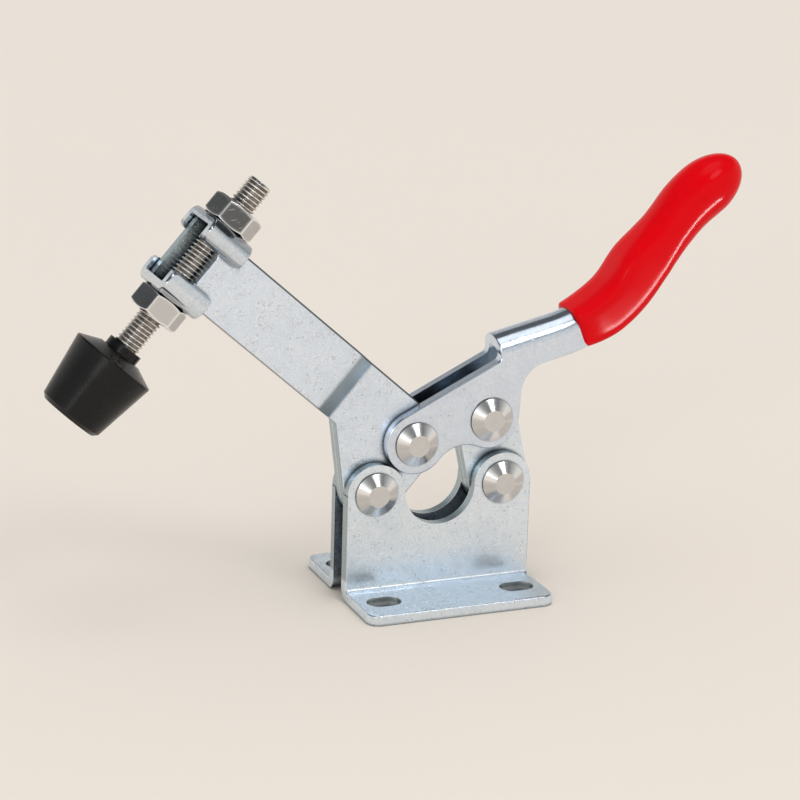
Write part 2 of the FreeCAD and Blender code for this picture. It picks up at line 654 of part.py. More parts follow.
def handle_frame(label):
    # Local frame: arm pivot at the origin, link pivot on the X axis. One sheet folded
    # over a spine: two legs with two lobes each, and a channel that bends into the grip.
    body = new_body(label)
    side_view = new_sketch(body, label + "_side", "XZ_Plane")
    outline(side_view, [
        ("-handleLobe", "0", "handleLobe", 1),
        ("hollowStartX", "hollowStartZ", "underRadius", -1),
        ("hollowEndX", "hollowEndZ", "handleHeel", 1),
        ("heelX", "heelZ"),
        ("throatStartX", "throatStartZ", "throatRadius", -1),
        ("throatEndX", "channelBottom"),
        ("bendStart", "channelBottom", "steelBendLower", 1),
        ("steelBendLowerX", "steelBendLowerZ"),
        ("steelTangLowerX", "steelTangLowerZ"),
        ("steelTangUpperX", "steelTangUpperZ"),
        ("steelBendUpperX", "steelBendUpperZ", "steelBendUpper", -1),
        ("bendStart", "channelTop"),
        ("foldFront", "channelTop"),
        ("foldFront", "foldCornerZ", "foldCorner", -1),
        ("legCornerX", "legCornerZ"),
        ("legStartX", "legStartZ", "handleLobe", 1),
    ])
    pad(body, side_view, label + "_block", "handleWidth", both=True)
    fillet(body, label + "_fold", "spineRound",
           lambda middle, along, length: near(abs(middle.y), size("webOuter"))
           and abs(along.y) < 0.1 and on_offset(middle, "channelHalf"))
    inside = new_sketch(body, label + "_inside", "XZ_Plane")
    outline(inside, [
        ("-slotFront", "slotCeiling"),
        ("-slotFront", "-slotFront"),
        ("heelX", "-slotFront"),
        ("throatEndX", "slotFloor"),
        ("bendStart", "slotFloor", "floorBend", 1),
        ("floorBendLowerX", "floorBendLowerZ"),
        ("floorPastLowerX", "floorPastLowerZ"),
        ("ceilingPastUpperX", "ceilingPastUpperZ"),
        ("ceilingBendUpperX", "ceilingBendUpperZ", "ceilingBend", -1),
        ("bendStart", "slotCeiling"),
    ])
    pocket(body, inside, label + "_gap", "plateGap", both=True)
    fillet(body, label + "_fold_inside", "foldInside",
           lambda middle, along, length: near(abs(middle.y), size("webInner"))
           and abs(along.y) < 0.1 and on_offset(middle, "ceilingHalf"))
    holes = new_sketch(body, label + "_pivots", "XZ_Plane")
    round_hole(holes, "0", "0", "shankRadius")
    round_hole(holes, "couplerLength", "0", "shankRadius")
    pocket(body, holes, label + "_pivot_holes", both=True)
    fillet(body, label + "_rim", "edgeRound",
           lambda middle, along, length: near(abs(middle.y), size("webOuter"))
           and near(middle.z, size("channelBottom")) and abs(along.x) > 0.9)
    place(body, "crankX", "crankZ", "handleTilt")
    return body


def on_offset(point, half):
    # True where a point lies above the channel's middle line by a named distance.
    start = size("bendStart")
    middle = size("channelMiddle")
    reach = size(half)
    if point.x <= start + 0.01:
        return near(point.z, middle + reach) and point.x > size("foldFront") - 0.01
    centre = Vector(start, 0, middle + size("bendRadius"))
    turn = math.radians(size("bendTurn"))
    beyond = Vector(math.cos(turn), 0, math.sin(turn))
    normal = Vector(-math.sin(turn), 0, math.cos(turn))
    end = Vector(size("bendEndX"), 0, size("bendEndZ"))
    flat = Vector(point.x, 0, point.z)
    if (flat - end).dot(beyond) <= 0.01:
        return near((flat - centre).Length, size("bendRadius") - reach)
    return near((flat - end).dot(normal), reach)


def hand_grip(label):
    # Same local frame as the handle frame. A dipped sleeve with a closed, rounded end.
    body = new_body(label)
    side_view = new_sketch(body, label + "_side", "XZ_Plane")
    outline(side_view, [
        ("gripStartLowerX", "gripStartLowerZ", "gripBendLower", 1),
        ("gripBendLowerX", "gripBendLowerZ"),
        ("gripKneeLowerX", "gripKneeLowerZ", "gripTipLower", -1),
        ("gripTipLowerX", "gripTipLowerZ"),
        ("gripLastLowerX", "gripLastLowerZ", "gripEnd", 1),
        ("gripFaceLowerX", "gripFaceLowerZ"),
        ("gripFaceUpperX", "gripFaceUpperZ", "gripEnd", 1),
        ("gripLastUpperX", "gripLastUpperZ"),
        ("gripTipUpperX", "gripTipUpperZ", "gripTipUpper", 1),
        ("gripKneeUpperX", "gripKneeUpperZ"),
        ("gripBendUpperX", "gripBendUpperZ", "gripBendUpper", -1),
        ("gripStartUpperX", "gripStartUpperZ"),
    ])
    pad(body, side_view, label + "_block", "gripWidth", both=True)
    start = Vector(size("gripStartX"), 0, size("gripStartZ"))
    turn = math.radians(size("gripStartTurn"))
    forward = Vector(math.cos(turn), 0, math.sin(turn))
    fillet(body, label + "_edges", "gripEdge",
           lambda middle, along, length: near(abs(middle.y), size("gripSide"))
           and (Vector(middle.x, 0, middle.z) - start).dot(forward) > 0.05)
    bore = new_sketch(body, label + "_bore", "XZ_Plane")
    outline(bore, [
        ("steelStartLowerX", "steelStartLowerZ", "steelBendLower", 1),
        ("steelBendLowerX", "steelBendLowerZ"),
        ("steelTangLowerX", "steelTangLowerZ"),
        ("steelTangUpperX", "steelTangUpperZ"),
        ("steelBendUpperX", "steelBendUpperZ", "steelBendUpper", -1),
        ("steelStartUpperX", "steelStartUpperZ"),
    ])
    pocket(body, bore, label + "_cavity", "handleWidth", both=True)
    fillet(body, label + "_cavity_edges", "spineRound",
           lambda middle, along, length: near(abs(middle.y), size("webOuter"))
           and abs(along.y) < 0.1 and on_offset(middle, "channelHalf"))
    place(body, "crankX", "crankZ", "handleTilt")
    return body


def rivet(label, across, up):
    # Turned about its own long axis: shank through every plate, one cone head each side.
    body = new_body(label)
    half = new_sketch(body, label + "_half", "YZ_Plane")
    outline(half, [
        ("-rivetTop", "0"),
        ("rivetTop", "0"),
        ("rivetTop", "rivetFlatRadius"),
        ("rivetEdge", "rivetHeadRadius"),
        ("rivetHalf", "rivetHeadRadius"),
        ("rivetHalf", "shankRadius"),
        ("-rivetHalf", "shankRadius"),
        ("-rivetHalf", "rivetHeadRadius"),
        ("-rivetEdge", "rivetHeadRadius"),
        ("-rivetTop", "rivetFlatRadius"),
    ])
    turn = body.newObject("PartDesign::Revolution", label + "_turned")
    turn.Profile = half
    turn.ReferenceAxis = (half, ["H_Axis"])
    turn.Angle = 360
    doc.recompute()
    body.Placement = FreeCAD.Placement(Vector(size(across), 0, size(up)), FreeCAD.Rotation())
    body.setExpression("Placement.Base.x", formula(across))
    body.setExpression("Placement.Base.z", formula(up))
    return body


def turned(label, corners, rim="", rounding=""):
    # A solid turned about the spindle's axis, in the frame of the spindle. The edge at
    # the height named rim may be rounded.
    body = new_body(label)
    half = new_sketch(body, label + "_half", "XZ_Plane")
    outline(half, corners)
    turn = body.newObject("PartDesign::Revolution", label + "_turned")
    turn.Profile = half
    turn.ReferenceAxis = (half, ["V_Axis"])
    turn.Angle = 360
    doc.recompute()
    if rim:
        fillet(body, label + "_rounded", rounding,
               lambda middle, along, length: near(middle.z, size(rim)) and abs(along.z) < 0.1)
    place(body, "headX", "headZ", "armTilt")
    return body


def hex_nut(label, low, bevels, angle):
    # bevels: the heights of the nut's lower face, lower bevel, upper bevel, upper face.
    body = new_body(label)
    flats = new_sketch(body, label + "_flats", "XY_Plane")
    lift(flats, low)
    corners = []
    for step in range(6):
        turn = math.radians(60 * step + size(angle))
        reach = size("nutCorner")
        corners.append(Vector(reach * math.cos(turn), reach * math.sin(turn), 0))
    ring = flats.addGeometry(Part.Circle(Vector(), Vector(0, 0, 1), size("nutCorner")), True)
    pin(flats, ring, 3, "0", "0")
    drive(flats, Sketcher.Constraint("Radius", ring, size("nutCorner")), "nutCorner")
    for step in range(6):
        flats.addGeometry(Part.LineSegment(corners[step], corners[(step + 1) % 6]), False)
    for step in range(6):
        following = (step + 1) % 6
        flats.addConstraint(Sketcher.Constraint("Coincident", step + 1, 2, following + 1, 1))
        flats.addConstraint(Sketcher.Constraint("PointOnObject", step + 1, 1, ring))
    for step in range(5):
        flats.addConstraint(Sketcher.Constraint("Equal", step + 1, step + 2))
    spoke = flats.addGeometry(Part.LineSegment(Vector(), corners[0]), True)
    flats.addConstraint(Sketcher.Constraint("Coincident", spoke, 1, -1, 1))
    flats.addConstraint(Sketcher.Constraint("Coincident", spoke, 2, 1, 1))
    index = flats.addConstraint(Sketcher.Constraint("Angle", spoke, math.radians(size(angle))))
    flats.renameConstraint(index, "turned")
    flats.setExpression("Constraints.turned", formula(angle) + " * 1 deg")
    pad(body, flats, label + "_block", "nutHeight")
    bevel = new_sketch(body, label + "_bevel", "XZ_Plane")
    outline(bevel, [
        ("nutFace", bevels[0]),
        ("nutPast", bevels[0]),
        ("nutPast", bevels[1]),
    ])
    outline(bevel, [
        ("nutFace", bevels[3]),
        ("nutPast", bevels[2]),
        ("nutPast", bevels[3]),
    ])
    before = body.Shape.Volume
    groove = body.newObject("PartDesign::Groove", label + "_bevelled")
    groove.Profile = bevel
    groove.ReferenceAxis = (bevel, ["V_Axis"])
    groove.Angle = 360
    doc.recompute()
    if body.Shape.Volume > before - 0.01:
        raise RuntimeError("the nut kept its corners: " + label)
    bore = new_sketch(body, label + "_bore", "XY_Plane")
    round_hole(bore, "0", "0", "threadHole")
    pocket(body, bore, label + "_bored", both=True)
    place(body, "headX", "headZ", "armTilt")
    return body


def saddle_washer(label, up):
    # A bent washer over the bar's edge: its two flaps hold the bar strips together.
    body = new_body(label)
    section = new_sketch(body, label + "_section", "YZ_Plane")
    outline(section, [
        ("-saddleOuter", flip("saddleFoot", up)),
        ("-saddleInner", flip("saddleFoot", up)),
        ("-saddleInner", flip("saddleInside", up), "saddleBend", -up),
        ("-saddleFlat", flip("halfBar", up)),
        ("saddleFlat", flip("halfBar", up), "saddleBend", -up),
        ("saddleInner", flip("saddleInside", up)),
        ("saddleInner", flip("saddleFoot", up)),
        ("saddleOuter", flip("saddleFoot", up)),
        ("saddleOuter", flip("saddleInside", up), "saddleRound", up),
        ("saddleFlat", flip("seatHeight", up)),
        ("-saddleFlat", flip("seatHeight", up), "saddleRound", up),
        ("-saddleOuter", flip("saddleInside", up)),
    ])
    pad(body, section, label + "_bent", "saddleLength", both=True)
    fillet(body, label + "_corners", "saddleCorner",
           lambda middle, along, length: near(abs(middle.x), size("saddleLength") / 2)
           and near(middle.z, up * size("saddleFoot")) and abs(along.y) > 0.9)
    fillet(body, label + "_rim", "saddleRim",
           lambda middle, along, length: near(middle.z, up * size("seatHeight"))
           and near(abs(middle.x), size("saddleLength") / 2))
    hole = new_sketch(body, label + "_hole", "XY_Plane")
    round_hole(hole, "0", "0", "saddleHole")
    pocket(body, hole, label + "_holed", both=True)
    place(body, "headX", "headZ", "armTilt")
    return body


parts = [
    base_plate("base_plate_front", -1),
    base_plate("base_plate_back", 1),
    arm_strip("arm_strip_front", -1, True),
    arm_strip("arm_strip_back", 1, False),
    link_plate("link_plate_front", -1),
    link_plate("link_plate_back", 1),
    handle_frame("handle_frame"),
    hand_grip("hand_grip"),
    rivet("rivet_base_arm", "-halfPivots", "pivotHeight"),
    rivet("rivet_base_link", "halfPivots", "pivotHeight"),
    rivet("rivet_handle_arm", "crankX", "crankZ"),
    rivet("rivet_handle_link", "elbowX", "elbowZ"),
    turned("spindle", [
        ("0", "spindleFoot"),
        ("bevelRadius", "spindleFoot"),
        ("spindleRadius", "spindleFootBevel"),
        ("spindleRadius", "spindleTopBevel"),
        ("bevelRadius", "spindleAbove"),
        ("0", "spindleAbove"),
    ]),
    turned("rubber_tip", [
        ("0", "tipFoot"),
        ("tipFaceFlat", "tipFoot"),
        ("tipFaceRadius", "tipFaceEdge"),
        ("tipRimRadius", "tipRimZ"),
        ("tipNeckRadius", "tipNeckZ"),
        ("tipCollarRadius", "tipNeckZ"),
        ("tipCollarRadius", "tipTopZ"),
        ("spindleRadius", "tipTopZ"),
        ("spindleRadius", "spindleFootBevel"),
        ("bevelRadius", "spindleFoot"),
        ("0", "spindleFoot"),
    ], "tipRimZ", "tipRimRound"),
    hex_nut("nut_upper", "seatHeight", ["seatHeight", "bevelLow", "bevelHigh", "nutTop"],
            "upperNutTurn"),
    hex_nut("nut_lower", "-nutTop", ["-nutTop", "-bevelHigh", "-bevelLow", "-seatHeight"],
            "lowerNutTurn"),
    saddle_washer("saddle_washer_upper", 1),
    saddle_washer("saddle_washer_lower", -1),
]

doc.recompute()
for item in doc.Objects:
    if "Invalid" in item.State or "Error" in item.State:
        raise RuntimeError("failed: " + item.Name + " " + str(item.State))
os.makedirs("parts", exist_ok=True)
for part in parts:
    shape = part.Shape
    if shape.isNull() or not shape.isValid() or len(shape.Solids) != 1:
        raise RuntimeError("bad shape: " + part.Label)
    shape.exportStep("parts/" + part.Label + ".step")
    box = shape.BoundBox
    print(part.Label, "volume %.1f" % shape.Volume, "box",
          "%.1f %.1f %.1f" % (box.XMin, box.YMin, box.ZMin),
          "%.1f %.1f %.1f" % (box.XMax, box.YMax, box.ZMax))
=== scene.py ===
import math
import bpy
import numpy as np
from mathutils import Matrix, Vector


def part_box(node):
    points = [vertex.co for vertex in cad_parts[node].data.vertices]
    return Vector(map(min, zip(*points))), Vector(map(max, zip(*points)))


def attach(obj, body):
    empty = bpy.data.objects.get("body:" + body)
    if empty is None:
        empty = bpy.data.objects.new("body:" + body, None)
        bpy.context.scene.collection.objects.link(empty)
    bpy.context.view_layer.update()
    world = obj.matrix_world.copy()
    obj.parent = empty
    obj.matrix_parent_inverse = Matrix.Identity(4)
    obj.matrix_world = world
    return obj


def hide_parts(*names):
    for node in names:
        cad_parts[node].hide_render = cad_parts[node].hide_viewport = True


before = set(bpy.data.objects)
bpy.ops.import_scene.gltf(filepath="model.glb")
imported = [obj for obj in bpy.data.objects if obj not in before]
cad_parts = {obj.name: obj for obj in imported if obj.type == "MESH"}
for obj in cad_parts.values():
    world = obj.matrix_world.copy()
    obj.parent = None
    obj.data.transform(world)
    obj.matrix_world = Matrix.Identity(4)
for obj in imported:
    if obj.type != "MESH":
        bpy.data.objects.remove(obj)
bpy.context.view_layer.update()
print("frame loaded")

# Camera: the photograph's angle, as turn round the object, height above the horizon and tilt.
cameraValues = {
    "turn": 22.41,
    "height": 16.98,
    "tilt": 1.71,
    "distance": 0.81509,
    "lens": 126.13,
    "sensor": 36.0,
    "nearest": 0.01,
    "lookAt": (-0.01091, 0.0, 0.05854),
}


def makeCamera(values):
    # away points from the object to the camera, across to the right of the picture.
    turn = math.radians(values["turn"])
    height = math.radians(values["height"])
    tilt = math.radians(values["tilt"])
    away = Vector((-math.sin(turn) * math.cos(height),
                   -math.cos(turn) * math.cos(height),
                   math.sin(height)))
    level = Vector((math.cos(turn), -math.sin(turn), 0.0))
    upright = level.cross(-away)
    across = math.cos(tilt) * level + math.sin(tilt) * upright
    up = math.cos(tilt) * upright - math.sin(tilt) * level
    place = Vector(values["lookAt"]) + values["distance"] * away
    data = bpy.data.cameras.new("photoCamera")
    data.lens = values["lens"]
    data.sensor_width = values["sensor"]
    data.clip_start = values["nearest"]
    camera = bpy.data.objects.new("photoCamera", data)
    camera.matrix_world = Matrix((
        (across.x, up.x, away.x, place.x),
        (across.y, up.y, away.y, place.y),
        (across.z, up.z, away.z, place.z),
        (0.0, 0.0, 0.0, 1.0)))
    bpy.context.scene.collection.objects.link(camera)
    bpy.context.scene.camera = camera


makeCamera(cameraValues)
print("camera placed")

# Node helpers


def startMaterial(name, colour, metallic, roughness):
    material = bpy.data.materials.new(name)
    material.use_nodes = True
    tree = material.node_tree
    tree.nodes.clear()
    surface = tree.nodes.new("ShaderNodeBsdfPrincipled")
    surface.inputs["Base Color"].default_value = (*colour, 1.0)
    surface.inputs["Metallic"].default_value = metallic
    surface.inputs["Roughness"].default_value = roughness
    output = tree.nodes.new("ShaderNodeOutputMaterial")
    tree.links.new(surface.outputs["BSDF"], output.inputs["Surface"])
    return material, tree, surface


def objectPlace(tree, turn=(0.0, 0.0, 0.0), scale=(1.0, 1.0, 1.0), centre=(0.0, 0.0, 0.0)):
    # Object coordinates, centred first, then turned and stretched.
    coordinates = tree.nodes.new("ShaderNodeTexCoord")
    shift = tree.nodes.new("ShaderNodeVectorMath")
    shift.operation = "SUBTRACT"
    shift.inputs[1].default_value = centre
    tree.links.new(coordinates.outputs["Object"], shift.inputs[0])
    mapping = tree.nodes.new("ShaderNodeMapping")
    mapping.inputs["Rotation"].default_value = [math.radians(angle) for angle in turn]
    mapping.inputs["Scale"].default_value = scale
    tree.links.new(shift.outputs["Vector"], mapping.inputs["Vector"])
    return mapping.outputs["Vector"]


def noise(tree, place, scale, detail=3.0, roughness=0.5):
    texture = tree.nodes.new("ShaderNodeTexNoise")
    texture.inputs["Scale"].default_value = scale
    texture.inputs["Detail"].default_value = detail
    texture.inputs["Roughness"].default_value = roughness
    tree.links.new(place, texture.inputs["Vector"])
    return texture.outputs["Fac"]


def spots(tree, place, scale, reach):
    # 1 at the middle of scattered round spots, 0 outside them.
    texture = tree.nodes.new("ShaderNodeTexVoronoi")
    texture.inputs["Scale"].default_value = scale
    tree.links.new(place, texture.inputs["Vector"])
    return spread(tree, texture.outputs["Distance"], 0.0, reach, 1.0, 0.0)


def spread(tree, value, low, high, newLow, newHigh):
    # Straight line from (low, newLow) to (high, newHigh), held outside it.
    line = tree.nodes.new("ShaderNodeMapRange")
    line.inputs["From Min"].default_value = low
    line.inputs["From Max"].default_value = high
    line.inputs["To Min"].default_value = newLow
    line.inputs["To Max"].default_value = newHigh
    tree.links.new(value, line.inputs["Value"])
    return line.outputs["Result"]


def sums(tree, operation, first, second=None):
    step = tree.nodes.new("ShaderNodeMath")
    step.operation = operation
    for socket, value in zip(step.inputs, (first, second)):
        if value is None:
            continue
        if isinstance(value, (int, float)):
            socket.default_value = value
        else:
            tree.links.new(value, socket)
    return step.outputs["Value"]


def blendColour(tree, share, first, second):
    mix = tree.nodes.new("ShaderNodeMix")
    mix.data_type = "RGBA"
    sockets = [socket for socket in mix.inputs if socket.type == "RGBA"]
    for socket, colour in zip(sockets, (first, second)):
        if isinstance(colour, tuple):
            socket.default_value = (*colour, 1.0)
        else:
            tree.links.new(colour, socket)
    tree.links.new(share, mix.inputs[0])
    return next(socket for socket in mix.outputs if socket.type == "RGBA")


def relief(tree, height, depth, strength=1.0, below=None):
    bump = tree.nodes.new("ShaderNodeBump")
    bump.inputs["Distance"].default_value = depth
    bump.inputs["Strength"].default_value = strength
    tree.links.new(height, bump.inputs["Height"])
    if below is not None:
        tree.links.new(below, bump.inputs["Normal"])
    return bump.outputs["Normal"]


def between(tree, value, low, high, soft):
    # 1 well inside the range, 0 outside it.
    rise = spread(tree, value, low, low + soft, 0.0, 1.0)
    fall = spread(tree, value, high - soft, high, 1.0, 0.0)
    return sums(tree, "MULTIPLY", rise, fall)


def paintedCreviceShade(tree, reach, low=0.40, high=0.88):
    # Painted shade: 1 in tight corners and narrow gaps, 0 on open faces, where the colour is darkened as
    # shade; low and high are shares of open sky.
    shelter = tree.nodes.new("ShaderNodeAmbientOcclusion")
    shelter.samples = 8
    shelter.inputs["Distance"].default_value = reach
    return spread(tree, shelter.outputs["AO"], low, high, 1.0, 0.0)


def shearedFaces(tree, place, zones):
    # 1 on a sheet's cut edges: each zone names ranges of |x|, |y| and |z| that only they reach.
    sizes = tree.nodes.new("ShaderNodeVectorMath")
    sizes.operation = "ABSOLUTE"
    tree.links.new(place, sizes.inputs[0])
    split = tree.nodes.new("ShaderNodeSeparateXYZ")
    tree.links.new(sizes.outputs["Vector"], split.inputs[0])
    total = None
    for zone in zones:
        share = None
        for axis, (low, high, soft) in zone.items():
            part = between(tree, split.outputs[axis], low, high, soft)
            share = part if share is None else sums(tree, "MULTIPLY", share, part)
        total = share if total is None else sums(tree, "MAXIMUM", total, share)
    return total


# Finishes

zincValues = {
    "light": (0.78, 0.875, 0.97),
    "dark": (0.70, 0.795, 0.89),
    "bright": (0.90, 0.95, 1.0),
    "broadScale": 55.0,
    "cloudScale": 260.0,
    "grainScale": 1500.0,
    "grainDepth": 0.000014,
    "curlScale": 210.0,
    "curlSets": ((1.0, 0.36), (1.35, 0.33), (1.8, 0.34)),
    "curlWidth": 0.024,
    "curlDepth": 0.00004,
    "curlDark": (0.34, 0.42, 0.50),
    "curlDarkShare": 0.5,
    "curlLight": (0.97, 0.985, 1.0),
    "curlLightShare": 0.6,
    "scratchTurn": 31.0,
    "scratchScale": 1500.0,
    "speckScale": 560.0,
    "speckRadius": 0.19,
    "speckColour": (0.12, 0.14, 0.16),
    "speckShare": 0.75,
    "waveScale": 110.0,
    "waveDepth": 0.00025,
    "smooth": 0.20,
    "rough": 0.32,
    # Painted shade: reach and colour of the darkening in tight gaps and corners, and deep between the plates.
    "gapShadeReach": 0.0014,
    "gapShadeColour": (0.05, 0.065, 0.08),
    "deepShadeReach": 0.010,
    "deepShadeColour": (0.035, 0.058, 0.066),
    "cutEdgeShade": (0.29, 0.37, 0.395),
    "cutEdgeShadeShare": 0.8,
}


def loops(tree, place, runs, scale, radius, width):
    # Thin loops at one distance from scattered points, bent by a noise and broken into short runs.
    bend = 1.1
    wobble = tree.nodes.new("ShaderNodeTexNoise")
    wobble.inputs["Scale"].default_value = scale * bend
    wobble.inputs["Detail"].default_value = 1.0
    tree.links.new(place, wobble.inputs["Vector"])
    bent = tree.nodes.new("ShaderNodeVectorMath")
    bent.operation = "MULTIPLY_ADD"
    bent.inputs[1].default_value = (bend / scale, bend / scale, bend / scale)
    tree.links.new(wobble.outputs["Color"], bent.inputs[0])
    tree.links.new(place, bent.inputs[2])
    texture = tree.nodes.new("ShaderNodeTexVoronoi")
    texture.inputs["Scale"].default_value = scale
    tree.links.new(bent.outputs["Vector"], texture.inputs["Vector"])
    away = sums(tree, "ABSOLUTE", sums(tree, "SUBTRACT", texture.outputs["Distance"], radius))
    return sums(tree, "MULTIPLY", spread(tree, away, 0.0, width, 1.0, 0.0), runs)


def curls(tree, values):
    # Dark hairlines and a light one beside each, in sets of loops of different size.
    darkCurl = 0.0
    lightCurl = 0.0
    for number, (finer, radius) in enumerate(values["curlSets"]):
        scale = values["curlScale"] * finer
        width = values["curlWidth"] * finer
        shifted = objectPlace(tree, centre=(0.01 * number, 0.007 * number, 0.0))
        runs = spread(tree, noise(tree, shifted, values["curlScale"] * 2.1, 1.0), 0.47, 0.54, 0.0, 1.0)
        darkCurl = sums(tree, "MAXIMUM", darkCurl, loops(tree, shifted, runs, scale, radius, width))
        lightCurl = sums(tree, "MAXIMUM", lightCurl,
                         loops(tree, shifted, runs, scale, radius + 1.6 * width, width))
    return darkCurl, lightCurl


def alongAxis(tree, place, axis, middle):
    # Height along the spindle's axis, from a middle.
    along = tree.nodes.new("ShaderNodeVectorMath")
    along.operation = "DOT_PRODUCT"
    along.inputs[1].default_value = axis
    tree.links.new(place, along.inputs[0])
    return sums(tree, "SUBTRACT", along.outputs["Value"], middle)


def makeZinc(name, values, marks=1.0, zones=(), crown=None, edgeShadeLines=None):
    # Plated sheet: mottled colour, fine grain, short curled hairlines, scratches and dark specks,
    # with painted shade in gaps, corners and deep between plates. marks is how strongly the hairlines
    # show, zones are the cut edges painted darker as shade, crown rolls a flap and the last argument gives
    # painted shade lines along the bar's long edges.
    material, tree, surface = startMaterial(name, values["light"], 1.0, values["smooth"])
    place = objectPlace(tree)
    broad = noise(tree, place, values["broadScale"], 3.0, 0.55)
    cloud = noise(tree, place, values["cloudScale"], 5.0, 0.7)
    grain = noise(tree, place, values["grainScale"], 5.0, 0.75)
    darkCurl, lightCurl = curls(tree, values)
    slanted = objectPlace(tree, turn=(0.0, values["scratchTurn"], 0.0), scale=(0.05, 1.0, 1.0))
    scratch = spread(tree, noise(tree, slanted, values["scratchScale"], 1.0), 0.64, 0.70, 0.0, 0.7)
    speck = spots(tree, place, values["speckScale"], values["speckRadius"])
    rare = spread(tree, noise(tree, place, 260.0, 1.0), 0.57, 0.62, 0.0, 1.0)
    speck = sums(tree, "MULTIPLY", sums(tree, "MULTIPLY", speck, rare), values["speckShare"])
    mottle = sums(tree, "ADD", sums(tree, "MULTIPLY", broad, 0.45), sums(tree, "MULTIPLY", cloud, 0.55))
    colour = blendColour(tree, spread(tree, mottle, 0.42, 0.62, 0.0, 1.0), values["light"], values["dark"])
    colour = blendColour(tree, spread(tree, grain, 0.45, 0.72, 0.0, 0.8), colour, values["bright"])
    darker = sums(tree, "MULTIPLY", darkCurl, values["curlDarkShare"] * marks)
    colour = blendColour(tree, darker, colour, values["curlDark"])
    lighter = sums(tree, "MULTIPLY", lightCurl, values["curlLightShare"] * marks)
    colour = blendColour(tree, lighter, colour, values["curlLight"])
    colour = blendColour(tree, speck, colour, values["speckColour"])
    # Painted shade: cut edges, the bar's joggle, the upright's end and the slots' upper walls are darkened.
    if zones:
        cut = sums(tree, "MULTIPLY", shearedFaces(tree, place, zones), values["cutEdgeShadeShare"])
        colour = blendColour(tree, cut, colour, values["cutEdgeShade"])
    # Painted shade: dark lines along the bar's long edges.
    if edgeShadeLines is not None:
        height = alongAxis(tree, place, edgeShadeLines["axis"], edgeShadeLines["middle"])
        split = tree.nodes.new("ShaderNodeSeparateXYZ")
        tree.links.new(place, split.inputs[0])
        for low, high, end, lineShade in edgeShadeLines["lines"]:
            line = sums(tree, "MULTIPLY", between(tree, height, low, high, 0.00012),
                        spread(tree, split.outputs["X"], end - 0.001, end, 0.85, 0.0))
            colour = blendColour(tree, line, colour, lineShade)
    # Painted shade: darker deep between the plates, and darker still in tight gaps and corners.
    colour = blendColour(tree, paintedCreviceShade(tree, values["deepShadeReach"], 0.16, 0.50), colour, values["deepShadeColour"])
    colour = blendColour(tree, paintedCreviceShade(tree, values["gapShadeReach"]), colour, values["gapShadeColour"])
    tree.links.new(colour, surface.inputs["Base Color"])
    rough = spread(tree, mottle, 0.38, 0.64, values["smooth"], values["rough"])
    rough = sums(tree, "ADD", rough, sums(tree, "MULTIPLY", grain, 0.06))
    tree.links.new(rough, surface.inputs["Roughness"])
    fine = relief(tree, grain, values["grainDepth"], 0.7 * marks)
    scored = relief(tree, sums(tree, "ADD", darkCurl, sums(tree, "MULTIPLY", scratch, 0.3)),
                    -values["curlDepth"], 0.4 * marks, fine)
    waved = relief(tree, noise(tree, place, values["waveScale"], 2.0), values["waveDepth"], 0.25, scored)
    if crown is not None:
        waved = crowned(tree, place, crown, waved)
    tree.links.new(waved, surface.inputs["Normal"])
    return material


def crowned(tree, place, crown, below):
    # Rolls the flaps' flat outsides a little: highest in the middle of each flap's height, which
    # is measured along the spindle, 1 - (height from the middle / half height) squared.
    height = sums(tree, "DIVIDE", alongAxis(tree, place, crown["axis"], crown["middle"]), crown["half"])
    dome = sums(tree, "SUBTRACT", 1.0, sums(tree, "MULTIPLY", height, height))
    return relief(tree, dome, crown["rise"], 1.0, below)


rivetValues = {
    "colour": (0.86, 0.865, 0.87),
    "shade": (0.57, 0.575, 0.58),
    "flat": (0.66, 0.655, 0.65),
    "flatRadius": 0.0033,
    "ringPitch": 0.00036,
    "ringColour": (0.9, 0.91, 0.92),
    "ringDepth": 0.000008,
    "grainScale": 2300.0,
    "grainDepth": 0.000012,
    "roughness": 0.17,
    "flatRoughness": 0.33,
    "gapShadeReach": 0.0011,
    "gapShadeColour": (0.10, 0.11, 0.12),
}


